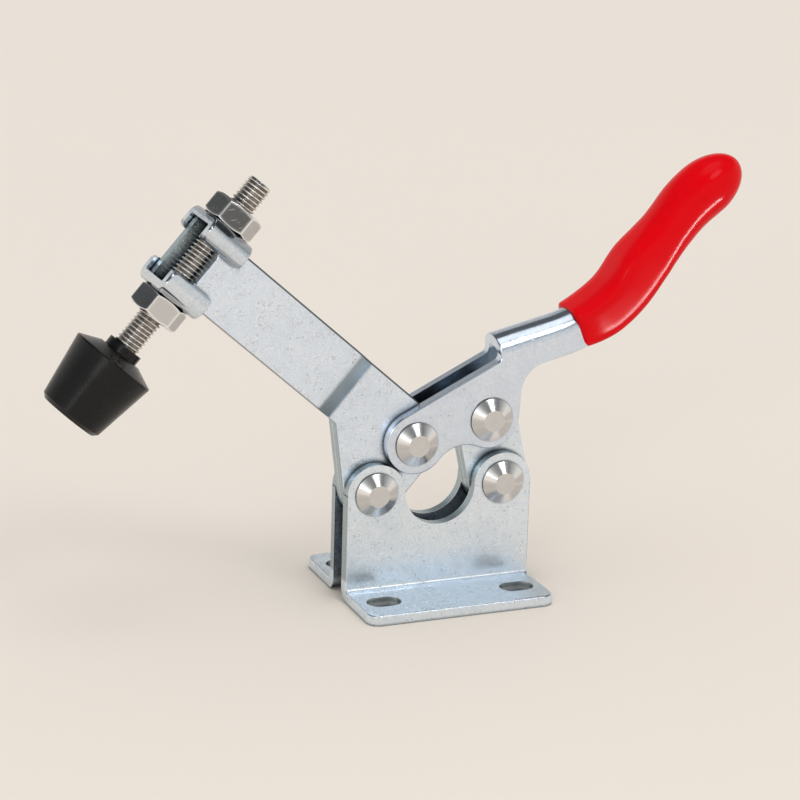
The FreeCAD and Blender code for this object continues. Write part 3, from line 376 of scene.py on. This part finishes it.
def makeTurned(name, centre, values):
    # Turned head: rings at one distance from the rivet's axis, sectors of light and shade on the
    # cone, and a duller flat middle.
    material, tree, surface = startMaterial(name, values["colour"], 1.0, values["roughness"])
    place = objectPlace(tree, scale=(1.0, 0.0, 1.0), centre=centre)
    length = tree.nodes.new("ShaderNodeVectorMath")
    length.operation = "LENGTH"
    tree.links.new(place, length.inputs[0])
    radius = length.outputs["Value"]
    direction = tree.nodes.new("ShaderNodeVectorMath")
    direction.operation = "NORMALIZE"
    tree.links.new(place, direction.inputs[0])
    sector = noise(tree, direction.outputs["Vector"], 1.25, 1.0, 0.5)
    rings = sums(tree, "SINE", sums(tree, "MULTIPLY", radius, 2.0 * math.pi / values["ringPitch"]))
    grain = noise(tree, objectPlace(tree), values["grainScale"], 4.0, 0.65)
    smudge = noise(tree, objectPlace(tree), 420.0, 3.0)
    flatShare = spread(tree, radius, values["flatRadius"] - 0.0002, values["flatRadius"], 1.0, 0.0)
    cone = blendColour(tree, spread(tree, sector, 0.44, 0.56, 0.0, 1.0), values["colour"], values["shade"])
    face = blendColour(tree, spread(tree, smudge, 0.4, 0.66, 0.0, 0.35), values["flat"], values["shade"])
    paintedLightTone = blendColour(tree, flatShare, cone, face)
    lined = blendColour(tree, spread(tree, rings, 0.0, 1.0, 0.0, 0.12), paintedLightTone, values["ringColour"])
    # Painted shade where the head meets the plate.
    shaded = blendColour(tree, paintedCreviceShade(tree, values["gapShadeReach"]), lined, values["gapShadeColour"])
    tree.links.new(shaded, surface.inputs["Base Color"])
    tree.links.new(spread(tree, flatShare, 0.0, 1.0, values["roughness"], values["flatRoughness"]),
                   surface.inputs["Roughness"])
    cut = relief(tree, rings, values["ringDepth"], 0.5)
    tree.links.new(relief(tree, grain, values["grainDepth"], 0.5, cut), surface.inputs["Normal"])
    return material


nutSteelValues = {
    # face and light are the darkest and the lightest painted reflection on the flats; edge is the colour of
    # the painted edge highlight.
    "face": (0.11, 0.112, 0.115),
    "light": (0.64, 0.645, 0.65),
    "edge": (0.97, 0.97, 0.965),
    "mark": (0.62, 0.625, 0.63),
    "markTurn": (0.0, 52.0, 20.0),
    "markScale": 1500.0,
    "cloudScale": 240.0,
    "depth": 0.00002,
    "roughness": 0.12,
    "gapShadeReach": 0.0006,
    "gapShadeColour": (0.05, 0.05, 0.055),
}


def makeNutSteel(name, values):
    # Bright pressed steel: dark smooth faces with short light wiping marks. One attribute is 1
    # on the edges, which get a painted highlight; the other says how light each flat is, as a painted
    # reflection.
    material, tree, surface = startMaterial(name, values["face"], 1.0, values["roughness"])
    place = objectPlace(tree)
    cloud = noise(tree, place, values["cloudScale"], 3.0)
    slanted = objectPlace(tree, turn=values["markTurn"], scale=(0.12, 1.0, 1.0))
    wiped = noise(tree, slanted, values["markScale"], 2.0)
    streak = spread(tree, wiped, 0.60, 0.72, 0.0, 0.6)
    rimHighlight = tree.nodes.new("ShaderNodeAttribute")
    rimHighlight.attribute_name = "rim"
    flat = tree.nodes.new("ShaderNodeAttribute")
    flat.attribute_name = "paintedLightTone"
    # Painted reflection: each flat is blended from the dark face colour to the light one.
    plain = blendColour(tree, flat.outputs["Fac"], values["face"], values["light"])
    marked = blendColour(tree, streak, plain, values["mark"])
    # Painted highlight on the edges and the chamfer arcs.
    edged = blendColour(tree, rimHighlight.outputs["Fac"], marked, values["edge"])
    # Painted shade in tight corners next to the nut.
    shaded = blendColour(tree, paintedCreviceShade(tree, values["gapShadeReach"]), edged, values["gapShadeColour"])
    tree.links.new(shaded, surface.inputs["Base Color"])
    tree.links.new(spread(tree, cloud, 0.3, 0.7, values["roughness"], values["roughness"] + 0.08),
                   surface.inputs["Roughness"])
    uneven = sums(tree, "ADD", wiped, sums(tree, "MULTIPLY", cloud, 0.6))
    tree.links.new(relief(tree, uneven, values["depth"], 0.6), surface.inputs["Normal"])
    return material


threadSteelValues = {
    "colour": (0.92, 0.89, 0.86),
    "rootShade": (0.20, 0.18, 0.165),
    "roughness": 0.17,
    "cloudScale": 500.0,
    "grainScale": 1900.0,
    "grainDepth": 0.00002,
}


def makeThreadSteel(name, values):
    # Warm plated thread: the attribute groove is 1 at the root, which is painted darker as shade.
    material, tree, surface = startMaterial(name, values["colour"], 1.0, values["roughness"])
    groove = tree.nodes.new("ShaderNodeAttribute")
    groove.attribute_name = "groove"
    place = objectPlace(tree)
    cloud = noise(tree, place, values["cloudScale"])
    # Painted shade: the root is darkened, a little unevenly.
    darker = sums(tree, "MULTIPLY", groove.outputs["Fac"], spread(tree, cloud, 0.3, 0.7, 0.65, 1.0))
    tree.links.new(blendColour(tree, darker, values["colour"], values["rootShade"]), surface.inputs["Base Color"])
    tree.links.new(spread(tree, cloud, 0.3, 0.7, values["roughness"] - 0.04, values["roughness"] + 0.12),
                   surface.inputs["Roughness"])
    grain = noise(tree, place, values["grainScale"])
    tree.links.new(relief(tree, grain, values["grainDepth"], 0.6), surface.inputs["Normal"])
    return material


vinylValues = {
    "colour": (0.71, 0.0010, 0.0052),
    "deep": (0.66, 0.0007, 0.004),
    "roughness": 0.13,
    "gloss": 0.09,
    "cloudScale": 45.0,
    "peelScale": 260.0,
    "peelDepth": 0.00006,
}


def makeVinyl(name, values):
    # Dipped soft vinyl: even deep red, hardly clouded, with a faint orange-peel skin.
    material, tree, surface = startMaterial(name, values["colour"], 0.0, values["roughness"])
    surface.inputs["Specular IOR Level"].default_value = values["gloss"]
    place = objectPlace(tree)
    cloud = noise(tree, place, values["cloudScale"], 2.0)
    clouded = spread(tree, cloud, 0.35, 0.7, 0.0, 0.7)
    tree.links.new(blendColour(tree, clouded, values["colour"], values["deep"]), surface.inputs["Base Color"])
    tree.links.new(spread(tree, cloud, 0.3, 0.7, values["roughness"], values["roughness"] + 0.07),
                   surface.inputs["Roughness"])
    peel = noise(tree, place, values["peelScale"], 2.0)
    tree.links.new(relief(tree, peel, values["peelDepth"], 0.3), surface.inputs["Normal"])
    return material


rubberValues = {
    "colour": (0.0032, 0.0032, 0.0036),
    "dust": (0.010, 0.010, 0.011),
    "roughness": 0.22,
    "gloss": 0.28,
    "dustScale": 150.0,
    "pitScale": 640.0,
    "pitRadius": 0.2,
    "pitDepth": 0.0003,
    "skinScale": 1500.0,
    "skinDepth": 0.00003,
}


def makeRubber(name, values):
    # Moulded rubber: near black, faint dust, small pits.
    material, tree, surface = startMaterial(name, values["colour"], 0.0, values["roughness"])
    surface.inputs["Specular IOR Level"].default_value = values["gloss"]
    place = objectPlace(tree)
    cloud = noise(tree, place, values["dustScale"], 5.0, 0.65)
    pit = sums(tree, "MULTIPLY", spots(tree, place, values["pitScale"], values["pitRadius"]),
               spread(tree, noise(tree, place, 230.0, 1.0), 0.46, 0.52, 0.0, 1.0))
    dusty = spread(tree, cloud, 0.45, 0.75, 0.0, 0.7)
    tree.links.new(blendColour(tree, dusty, values["colour"], values["dust"]), surface.inputs["Base Color"])
    tree.links.new(spread(tree, cloud, 0.3, 0.7, values["roughness"] - 0.06, values["roughness"] + 0.12),
                   surface.inputs["Roughness"])
    skin = relief(tree, noise(tree, place, values["skinScale"], 4.0), values["skinDepth"], 0.6)
    tree.links.new(relief(tree, pit, -values["pitDepth"], 1.0, skin), surface.inputs["Normal"])
    return material


# Each zone has, for the axes that it names, the size it starts and ends at and its soft border.
# The zones lie between the two faces of each sheet and are painted darker as shade. The bar's second one also
# takes its joggle.
baseZones = [
    {"Y": (0.00335, 0.00635, 0.0001), "Z": (0.006, 0.1, 0.001)},
    # Painted shade on the upper half of the slots' walls; their lower half stays light.
    {"X": (0.0155, 0.0265, 0.0001), "Y": (0.0129, 0.0208, 0.0001), "Z": (0.0013, 0.0031, 0.0007)},
    # Painted shade as a dark line along the upright's end face.
    {"X": (0.02880, 0.0300, 0.0001), "Z": (0.006, 0.034, 0.001)},
]
barZones = [{"Y": (0.0001, 0.0031, 0.0001)}, {"Y": (0.0033, 0.0074, 0.0006)}]
linkValues = dict(zincValues, deepShadeColour=(0.12, 0.16, 0.18))
linkZones = [{"Y": (0.0001, 0.0031, 0.0001)}]
# Along the spindle's axis the bar's middle line is at 0.029549, the flaps' middles 9.15 mm from it.
spindleAxis = (0.6613, 0.0, 0.7501)
upperCrown = {"axis": spindleAxis, "middle": 0.038699, "half": 0.00375, "rise": 0.0030}
lowerCrown = dict(upperCrown, middle=0.020399, rise=0.0012)
# Painted shade lines along the bar's rolled long edges: from and to in height, where they end along X, and
# their colour, near black above and grey below.
barEdgeShadeLines = {"axis": spindleAxis, "middle": 0.029549, "lines": [
    (0.0095, 0.0104, 0.0, (0.07, 0.08, 0.085)),
    (-0.0104, -0.0096, -0.036, (0.34, 0.34, 0.33))]}
washerValues = dict(zincValues, light=(0.68, 0.75, 0.83), dark=(0.62, 0.69, 0.78),
                    smooth=0.12, rough=0.2, cloudScale=120.0)
handleValues = dict(zincValues, light=(0.71, 0.795, 0.92), dark=(0.64, 0.72, 0.84),
                    bright=(0.84, 0.90, 0.97), smooth=0.13, rough=0.22, deepShadeColour=(0.17, 0.225, 0.25))
barValues = dict(zincValues, light=(0.76, 0.86, 0.995), dark=(0.69, 0.785, 0.92))
zincBase = makeZinc("zincBase", zincValues, 1.0, baseZones)
zincBar = makeZinc("zincBar", barValues, 1.0, barZones, edgeShadeLines=barEdgeShadeLines)
zincLink = makeZinc("zincLink", linkValues, 1.0, linkZones)
zincUpperWasher = makeZinc("zincUpperWasher", washerValues, 0.12, crown=upperCrown)
zincLowerWasher = makeZinc("zincLowerWasher", washerValues, 0.12, crown=lowerCrown)
zincHandle = makeZinc("zincHandle", handleValues, 0.6)
nutSteel = makeNutSteel("nutSteel", nutSteelValues)
threadSteel = makeThreadSteel("threadSteel", threadSteelValues)
redVinyl = makeVinyl("redVinyl", vinylValues)
blackRubber = makeRubber("blackRubber", rubberValues)

dressing = {
    "base_plate_front": zincBase,
    "base_plate_back": zincBase,
    "arm_strip_front": zincBar,
    "arm_strip_back": zincBar,
    "link_plate_front": zincLink,
    "link_plate_back": zincLink,
    "handle_frame": zincHandle,
    "saddle_washer_upper": zincUpperWasher,
    "saddle_washer_lower": zincLowerWasher,
    "nut_upper": nutSteel,
    "nut_lower": nutSteel,
    "spindle": threadSteel,
    "hand_grip": redVinyl,
    "rubber_tip": blackRubber,
}
rivets = {
    "rivet_base_arm": "turnedBaseArm",
    "rivet_base_link": "turnedBaseLink",
    "rivet_handle_arm": "turnedHandleArm",
    "rivet_handle_link": "turnedHandleLink",
}


def dress(nodeName, material):
    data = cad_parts[nodeName].data
    data.materials.clear()
    data.materials.append(material)


for nodeName, material in dressing.items():
    dress(nodeName, material)
for nodeName, materialName in rivets.items():
    low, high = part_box(nodeName)
    dress(nodeName, makeTurned(materialName, (low + high) / 2.0, rivetValues))
print("finishes made:", len(dressing) + len(rivets), "nodes")


# New pieces


def gridPiece(name, points, material, body, node, attributes=None, ring=False):
    # points[row, column] is closed round its columns. Its end rows are closed by a fan each, or
    # joined to each other where the piece is a ring. attributes has a value for each point.
    rows, columns = points.shape[:2]
    row, column = np.meshgrid(np.arange(rows if ring else rows - 1), np.arange(columns), indexing="ij")
    nextColumn = (column + 1) % columns
    nextRow = (row + 1) % rows
    quads = np.stack([row * columns + column, row * columns + nextColumn,
                      nextRow * columns + nextColumn, nextRow * columns + column], axis=-1)
    faces = quads.reshape(-1, 4).tolist()
    corners = points.reshape(-1, 3)
    if not ring:
        corners = np.vstack([corners, points[0].mean(axis=0), points[-1].mean(axis=0)])
        around = np.arange(columns)
        after = (around + 1) % columns
        centre = np.full(columns, rows * columns)
        last = (rows - 1) * columns
        faces += np.stack([centre, after, around], axis=-1).tolist()
        faces += np.stack([centre + 1, last + around, last + after], axis=-1).tolist()
    mesh = bpy.data.meshes.new(name)
    mesh.from_pydata(corners.tolist(), [], faces)
    mesh.polygons.foreach_set("use_smooth", np.ones(len(mesh.polygons), dtype=bool))
    for label, values in (attributes or {}).items():
        padded = np.zeros(len(corners), dtype=np.float32)
        padded[:rows * columns] = values.reshape(-1)
        mesh.attributes.new(label, "FLOAT", "POINT").data.foreach_set("value", padded)
    mesh.materials.append(material)
    mesh.update()
    piece = bpy.data.objects.new(name, mesh)
    bpy.context.scene.collection.objects.link(piece)
    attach(piece, body)
    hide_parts(node)
    return piece


# The spindle's frame: its middle lies on the bar's middle line and its axis leans with the bar.
spindleFrame = {
    "middle": (-0.073468, 0.0, 0.104164),
    "lean": 41.4,
}


def alongSpindle(across, side, height):
    # across points down the bar, side is Y, height runs along the spindle's axis.
    lean = math.radians(spindleFrame["lean"])
    middle = spindleFrame["middle"]
    x = middle[0] + across * math.cos(lean) + height * math.sin(lean)
    z = middle[2] - across * math.sin(lean) + height * math.cos(lean)
    return np.stack([x, side + middle[1] + 0.0 * x, z], axis=-1)


threadValues = {
    "radius": 0.004,
    "depth": 0.00074,
    "pitch": 0.00125,
    "foot": -0.0445,
    "top": 0.0285,
    "bevel": 0.0008,
    "crestShare": 0.16,
    "flankShare": 0.66,
    "roundFlank": 0.35,
    "rowsPerTurn": 12,
    "columns": 80,
}


def makeSpindle(values):
    # Radius falls from the crest to the root with the distance from the helix
    # height = pitch * (turns + angle / full turn). Crest and root are flat, and the flanks are
    # straight with a part of a smooth step mixed in, which softens their ends.
    length = values["top"] - values["foot"]
    rows = int(length / values["pitch"] * values["rowsPerTurn"])
    height = np.linspace(values["foot"], values["top"], rows)[:, None]
    angle = np.linspace(0.0, 2.0 * np.pi, values["columns"], endpoint=False)[None, :]
    phase = (height / values["pitch"] - angle / (2.0 * np.pi)) % 1.0
    fromCrest = np.abs(2.0 * phase - 1.0) - values["crestShare"]
    flank = np.clip(fromCrest / values["flankShare"], 0.0, 1.0)
    softStep = flank * flank * (3.0 - 2.0 * flank)
    groove = softStep * values["roundFlank"] + flank * (1.0 - values["roundFlank"])
    radius = values["radius"] - values["depth"] * groove
    fromEnd = np.minimum(height - values["foot"], values["top"] - height)
    radius = np.minimum(radius, values["radius"] - values["bevel"] + fromEnd)
    points = alongSpindle(radius * np.cos(angle), radius * np.sin(angle), height + 0.0 * angle)
    return gridPiece("threadedSpindle", points, threadSteel, "spindle_rod", "spindle",
                     {"groove": groove})


makeSpindle(threadValues)
print("spindle threaded")

nutValues = {
    "flat": 0.0070,
    "face": 0.00685,
    "bevel": 30.0,
    "height": 0.0068,
    "bore": 0.00412,
    "seat": 0.0129,
    "upperTurn": 43.2,
    # Painted reflection: how light each flat of the upper and the lower nut is painted.
    "upperFlatReflections": (0.5, 0.6, 0.3, 0.08, 0.75, 0.5),
    "lowerTurn": 51.5,
    "lowerFlatReflections": (0.6, 0.5, 0.75, 0.92, 0.6, 0.5),
    # Width of the painted highlight along the edges.
    "rimHighlightWidth": 0.00042,
    "sharpness": 90.0,
    "rowsOfSide": 44,
    "columns": 240,
}


def makeNut(name, node, low, turn, flatReflections, values):
    # A six-sided prism, radius = flat / cos(angle from the nearest flat), cut by a cone at both
    # ends; the two radii are joined by a soft minimum, which rounds the edges a little.
    angle = np.linspace(0.0, 2.0 * np.pi, values["columns"], endpoint=False)[None, :]
    fromFlat = (angle - math.radians(turn)) % (np.pi / 3.0) - np.pi / 6.0
    prism = values["flat"] / np.cos(fromFlat)
    tall = values["height"]
    share = np.linspace(0.0, 1.0, values["rowsOfSide"])[:, None]
    side = tall * (0.5 - 0.5 * np.cos(np.pi * share))
    slope = math.tan(math.radians(values["bevel"]))
    cone = values["face"] + np.minimum(side, tall - side) / slope
    sharp = values["sharpness"]
    outer = (prism ** -sharp + cone ** -sharp) ** (-1.0 / sharp)
    # Each end face has three rings between its rim and the bore.
    inside = np.array([0.99, 0.97, 0.85])[:, None] * values["face"] + 0.0 * angle
    bore = values["bore"] + 0.0 * angle + np.zeros((2, 1))
    radius = np.vstack([outer, inside, bore, inside[::-1]])
    height = np.vstack([side, np.full((4, 1), tall), np.zeros((4, 1))])
    # Painted highlight on the edges: 1 near the corners and along the chamfer arcs, 0.75 on the chamfers.
    fromCorner = values["flat"] * (math.tan(math.pi / 6.0) - np.abs(np.tan(fromFlat)))
    fromBevel = (cone - prism) * slope
    near = np.exp(-(fromCorner / values["rimHighlightWidth"]) ** 2)
    arc = np.where(fromBevel < 0.0, 0.75, np.exp(-(fromBevel / values["rimHighlightWidth"]) ** 2))
    rim = np.zeros_like(radius)
    rim[:values["rowsOfSide"]] = np.maximum(near + 0.0 * cone, arc)
    # Painted reflection: each flat gets its own given lightness; the end faces get 0.5.
    flatNumber = (((angle - math.radians(turn)) % (2.0 * np.pi)) / (np.pi / 3.0)).astype(int) % 6
    paintedLightTone = np.full_like(radius, 0.5)
    paintedLightTone[:values["rowsOfSide"]] = np.array(flatReflections)[flatNumber]
    points = alongSpindle(radius * np.cos(angle), radius * np.sin(angle), low + height + 0.0 * angle)
    return gridPiece(name, points, nutSteel, "spindle_seat", node,
                     {"rim": rim, "paintedLightTone": paintedLightTone}, ring=True)


makeNut("upperNut", "nut_upper", nutValues["seat"],
        nutValues["upperTurn"], nutValues["upperFlatReflections"], nutValues)
makeNut("lowerNut", "nut_lower", -nutValues["seat"] - nutValues["height"],
        nutValues["lowerTurn"], nutValues["lowerFlatReflections"], nutValues)
print("nuts shaped")

# The grip's frame is the handle's: the pivot on the bar, and the lean of the straight channel.
gripValues = {
    "pivot": (-0.00788, 0.046741),
    "lean": 13.12,
    "middleHeight": 0.0173,
    "bendStart": 0.050,
    "bendRadius": 0.048,
    "startTurn": 8.0,
    "bendTurn": 39.0,
    "straight": 0.019,
    "backRadius": 0.040,
    "tipTurn": 20.0,
    "domeLength": 0.0138,
    "halfWidth": 0.00815,
    "narrowing": 0.0010,
    "narrowLength": 0.010,
    "lipRound": 0.0009,
    "lipInset": 0.0006,
    "rows": 260,
    "columns": 120,
}
# Along the grip: distance from its start, half its depth, how far its middle is raised, and how
# square its section is.
gripProfile = [
    (0.0, 0.0060, 0.0, 5.0),
    (0.0008, 0.0063, 0.0, 5.0),
    (0.0045, 0.0066, -0.0002, 5.0),
    (0.0100, 0.0071, -0.0004, 4.6),
    (0.0160, 0.0073, -0.0002, 4.2),
    (0.0200, 0.0076, 0.0002, 4.0),
    (0.0240, 0.0078, 0.0007, 4.0),
    (0.0280, 0.0077, 0.0009, 4.0),
    (0.0310, 0.0075, 0.00075, 3.9),
    (0.0340, 0.0073, 0.0006, 3.3),
    (0.0400, 0.0073, 0.0002, 2.5),
    (0.0450, 0.0076, 0.0, 2.3),
    (0.0500, 0.0081, 0.0001, 2.25),
    (0.0550, 0.0084, 0.0001, 2.25),
    (0.0600, 0.0085, 0.0002, 2.2),
    (0.0708, 0.0085, 0.0006, 2.15),
]


def gripMiddle(values, distance):
    # Middle line in side view: an arc up, a straight, an arc back down and a straight tip.
    start = math.radians(values["startTurn"])
    full = math.radians(values["bendTurn"])
    tip = math.radians(values["tipTurn"])
    arc = values["bendRadius"] * (full - start)
    knee = arc + values["straight"]
    back = knee + values["backRadius"] * (full - tip)
    turn = start + np.clip(distance, 0.0, arc) / values["bendRadius"]
    turn = turn - np.clip(distance - knee, 0.0, back - knee) / values["backRadius"]
    steps = np.diff(distance, prepend=distance[0])
    halfway = turn - 0.5 * np.diff(turn, prepend=turn[0])
    startX = values["bendStart"] + values["bendRadius"] * math.sin(start)
    startZ = values["middleHeight"] + values["bendRadius"] * (1.0 - math.cos(start))
    return startX + np.cumsum(steps * np.cos(halfway)), startZ + np.cumsum(steps * np.sin(halfway)), turn


def smoothProfile(profile, distance):
    # The profile's columns at each distance, rounded by a bell-shaped mean except at the start.
    reach = 60
    table = np.array(profile)
    fine = np.linspace(0.0, table[-1, 0], 1400)
    window = np.exp(-0.5 * (np.arange(-reach, reach + 1) / 22.0) ** 2)
    window = window / window.sum()
    blend = np.clip(fine / 0.004, 0.0, 1.0)
    columns = []
    for column in table[:, 1:].T:
        raw = np.interp(fine, table[:, 0], column)
        padded = np.concatenate([np.full(reach, raw[0]), raw, np.full(reach, raw[-1])])
        soft = np.convolve(padded, window, mode="valid")
        columns.append(np.interp(distance, fine, blend * soft + (1.0 - blend) * raw))
    return columns


def makeGrip(values, profile):
    # Superellipse section |side / width| ^ n + |up / depth| ^ n = 1 swept along the middle line.
    # The end is a dome, where width and depth shrink as a quarter of an ellipse. The open end is
    # narrower and has a rounded lip.
    end = profile[-1][0]
    dome = end - values["domeLength"]
    share = np.linspace(0.0, 1.0, values["rows"])
    distance = end * np.sin(0.5 * np.pi * share) ** 0.9
    distance[0] = 0.0
    x, z, turn = gripMiddle(values, distance)
    depth, raised, squareness = smoothProfile(profile, distance)
    intoDome = np.clip(distance - dome, 0.0, None) / values["domeLength"]
    shrink = np.sqrt(np.clip(1.0 - intoDome ** 2, 1e-6, 1.0))
    intoLip = np.clip(distance / values["lipRound"], 0.0, 1.0)
    lip = np.sqrt(np.clip(1.0 - (1.0 - intoLip) ** 2, 0.0, 1.0))
    narrow = np.clip(1.0 - distance / values["narrowLength"], 0.0, 1.0) ** 2
    width = values["halfWidth"] - values["narrowing"] * narrow
    width = (width - values["lipInset"] * (1.0 - lip)) * shrink
    depth = depth * shrink
    angle = np.linspace(0.0, 2.0 * np.pi, values["columns"], endpoint=False)[None, :]
    power = 2.0 / squareness[:, None]
    side = np.sign(np.cos(angle)) * np.abs(np.cos(angle)) ** power * width[:, None]
    up = np.sign(np.sin(angle)) * np.abs(np.sin(angle)) ** power * depth[:, None] + raised[:, None]
    localX = x[:, None] - up * np.sin(turn)[:, None]
    localZ = z[:, None] + up * np.cos(turn)[:, None]
    lean = math.radians(values["lean"])
    worldX = values["pivot"][0] + localX * math.cos(lean) - localZ * math.sin(lean)
    worldZ = values["pivot"][1] + localX * math.sin(lean) + localZ * math.cos(lean)
    points = np.stack([worldX, side, worldZ], axis=-1)
    return gridPiece("dippedGrip", points, redVinyl, "handle", "hand_grip")


grip = makeGrip(gripValues, gripProfile)
print("grip dipped")

# Floor, light and surroundings

# Each lamp has its direction, the angle in degrees that it fills and its strength.
studioValues = {
    "floorReach": 6.0,
    "floorDrop": 0.00002,
    "floorColour": (0.80, 0.735, 0.660),
    "floorLitFront": (0.875, 0.800, 0.718),
    "floorCloud": 0.975,
    "roomLow": (0.80, 0.735, 0.660),
    "roomMiddle": (0.73, 0.73, 0.70),
    "roomHigh": (0.09, 0.095, 0.10),
    "fill": 0.80,
    "lamps": {
        "keyLamp": ((0.25, -0.66, 0.74), 22.0, 0.42),
        "sideLamp": ((-0.62, -0.75, 0.30), 14.0, 0.30),
        "topLamp": ((0.05, -0.15, 0.97), 40.0, 0.40),
    },
    "card": 1.5,
    "cardLength": 0.17,
    "cardWidth": 0.055,
    "cardPlace": (0.205, -0.175, 0.002),
}


def makeFloor(values):
    # Pale paper with painted light, a little lighter towards the front, and faintly clouded.
    mesh = bpy.data.meshes.new("studioFloor")
    reach = values["floorReach"]
    low = -values["floorDrop"]
    mesh.from_pydata([(-reach, -reach, low), (reach, -reach, low), (reach, reach, low), (-reach, reach, low)],
                     [], [(0, 1, 2, 3)])
    material, tree, surface = startMaterial("paperFloor", values["floorColour"], 0.0, 0.85)
    surface.inputs["Specular IOR Level"].default_value = 0.15
    place = objectPlace(tree)
    cloud = noise(tree, place, 3.0, 3.0)
    split = tree.nodes.new("ShaderNodeSeparateXYZ")
    tree.links.new(place, split.inputs[0])
    # Painted light: the floor is lighter towards the front.
    front = spread(tree, split.outputs["Y"], -0.35, 0.0, 1.0, 0.0)
    paper = blendColour(tree, front, values["floorColour"], values["floorLitFront"])
    deeper = tuple(values["floorCloud"] * part for part in values["floorColour"])
    tree.links.new(blendColour(tree, sums(tree, "MULTIPLY", cloud, 0.6), paper, deeper),
                   surface.inputs["Base Color"])
    mesh.materials.append(material)
    floor = bpy.data.objects.new("studioFloor", mesh)
    bpy.context.scene.collection.objects.link(floor)


def makeRoom(values):
    # What the camera and the metal see is a pale room with a dark ceiling; the fill light is white.
    world = bpy.data.worlds.new("softRoom")
    bpy.context.scene.world = world
    world.use_nodes = True
    tree = world.node_tree
    tree.nodes.clear()
    path = tree.nodes.new("ShaderNodeLightPath")
    seen = sums(tree, "MAXIMUM", path.outputs["Is Camera Ray"], path.outputs["Is Glossy Ray"])
    seen = sums(tree, "MAXIMUM", seen, path.outputs["Is Transmission Ray"])
    coordinates = tree.nodes.new("ShaderNodeTexCoord")
    split = tree.nodes.new("ShaderNodeSeparateXYZ")
    tree.links.new(coordinates.outputs["Generated"], split.inputs[0])
    low = spread(tree, split.outputs["Z"], 0.02, 0.22, 0.0, 1.0)
    high = spread(tree, split.outputs["Z"], 0.34, 0.58, 0.0, 1.0)
    walls = blendColour(tree, low, values["roomLow"], values["roomMiddle"])
    room = tree.nodes.new("ShaderNodeBackground")
    room.inputs["Strength"].default_value = 1.0
    tree.links.new(blendColour(tree, high, walls, values["roomHigh"]), room.inputs["Color"])
    fill = tree.nodes.new("ShaderNodeBackground")
    fill.inputs["Color"].default_value = (1.0, 1.0, 1.0, 1.0)
    fill.inputs["Strength"].default_value = values["fill"]
    mix = tree.nodes.new("ShaderNodeMixShader")
    tree.links.new(seen, mix.inputs[0])
    tree.links.new(fill.outputs[0], mix.inputs[1])
    tree.links.new(room.outputs[0], mix.inputs[2])
    output = tree.nodes.new("ShaderNodeOutputWorld")
    tree.links.new(mix.outputs[0], output.inputs["Surface"])


def makeLamp(name, place, width, strength):
    # A far round softbox: width is the angle that it fills, seen from the object.
    data = bpy.data.lights.new(name, "SUN")
    data.angle = math.radians(width)
    data.energy = strength
    lamp = bpy.data.objects.new(name, data)
    lamp.location = place
    lamp.rotation_euler = Vector(place).to_track_quat("Z", "Y").to_euler()
    bpy.context.scene.collection.objects.link(lamp)


def makeCard(values, piece):
    # A light card that lies beside the object and faces up; only the glossy piece shows it.
    data = bpy.data.lights.new("lowCard", "AREA")
    data.shape = "RECTANGLE"
    data.size = values["cardLength"]
    data.size_y = values["cardWidth"]
    data.energy = values["card"]
    card = bpy.data.objects.new("lowCard", data)
    card.location = values["cardPlace"]
    card.rotation_euler = (math.pi, 0.0, 0.0)
    card.visible_diffuse = False
    card.visible_camera = False
    shown = bpy.data.collections.new("shownInCard")
    shown.objects.link(piece)
    card.light_linking.receiver_collection = shown
    bpy.context.scene.collection.objects.link(card)


makeFloor(studioValues)
makeRoom(studioValues)
for lampName, (place, width, strength) in studioValues["lamps"].items():
    makeLamp(lampName, place, width, strength)
makeCard(studioValues, grip)
bpy.context.scene.view_settings.view_transform = "Standard"
print("studio lit")
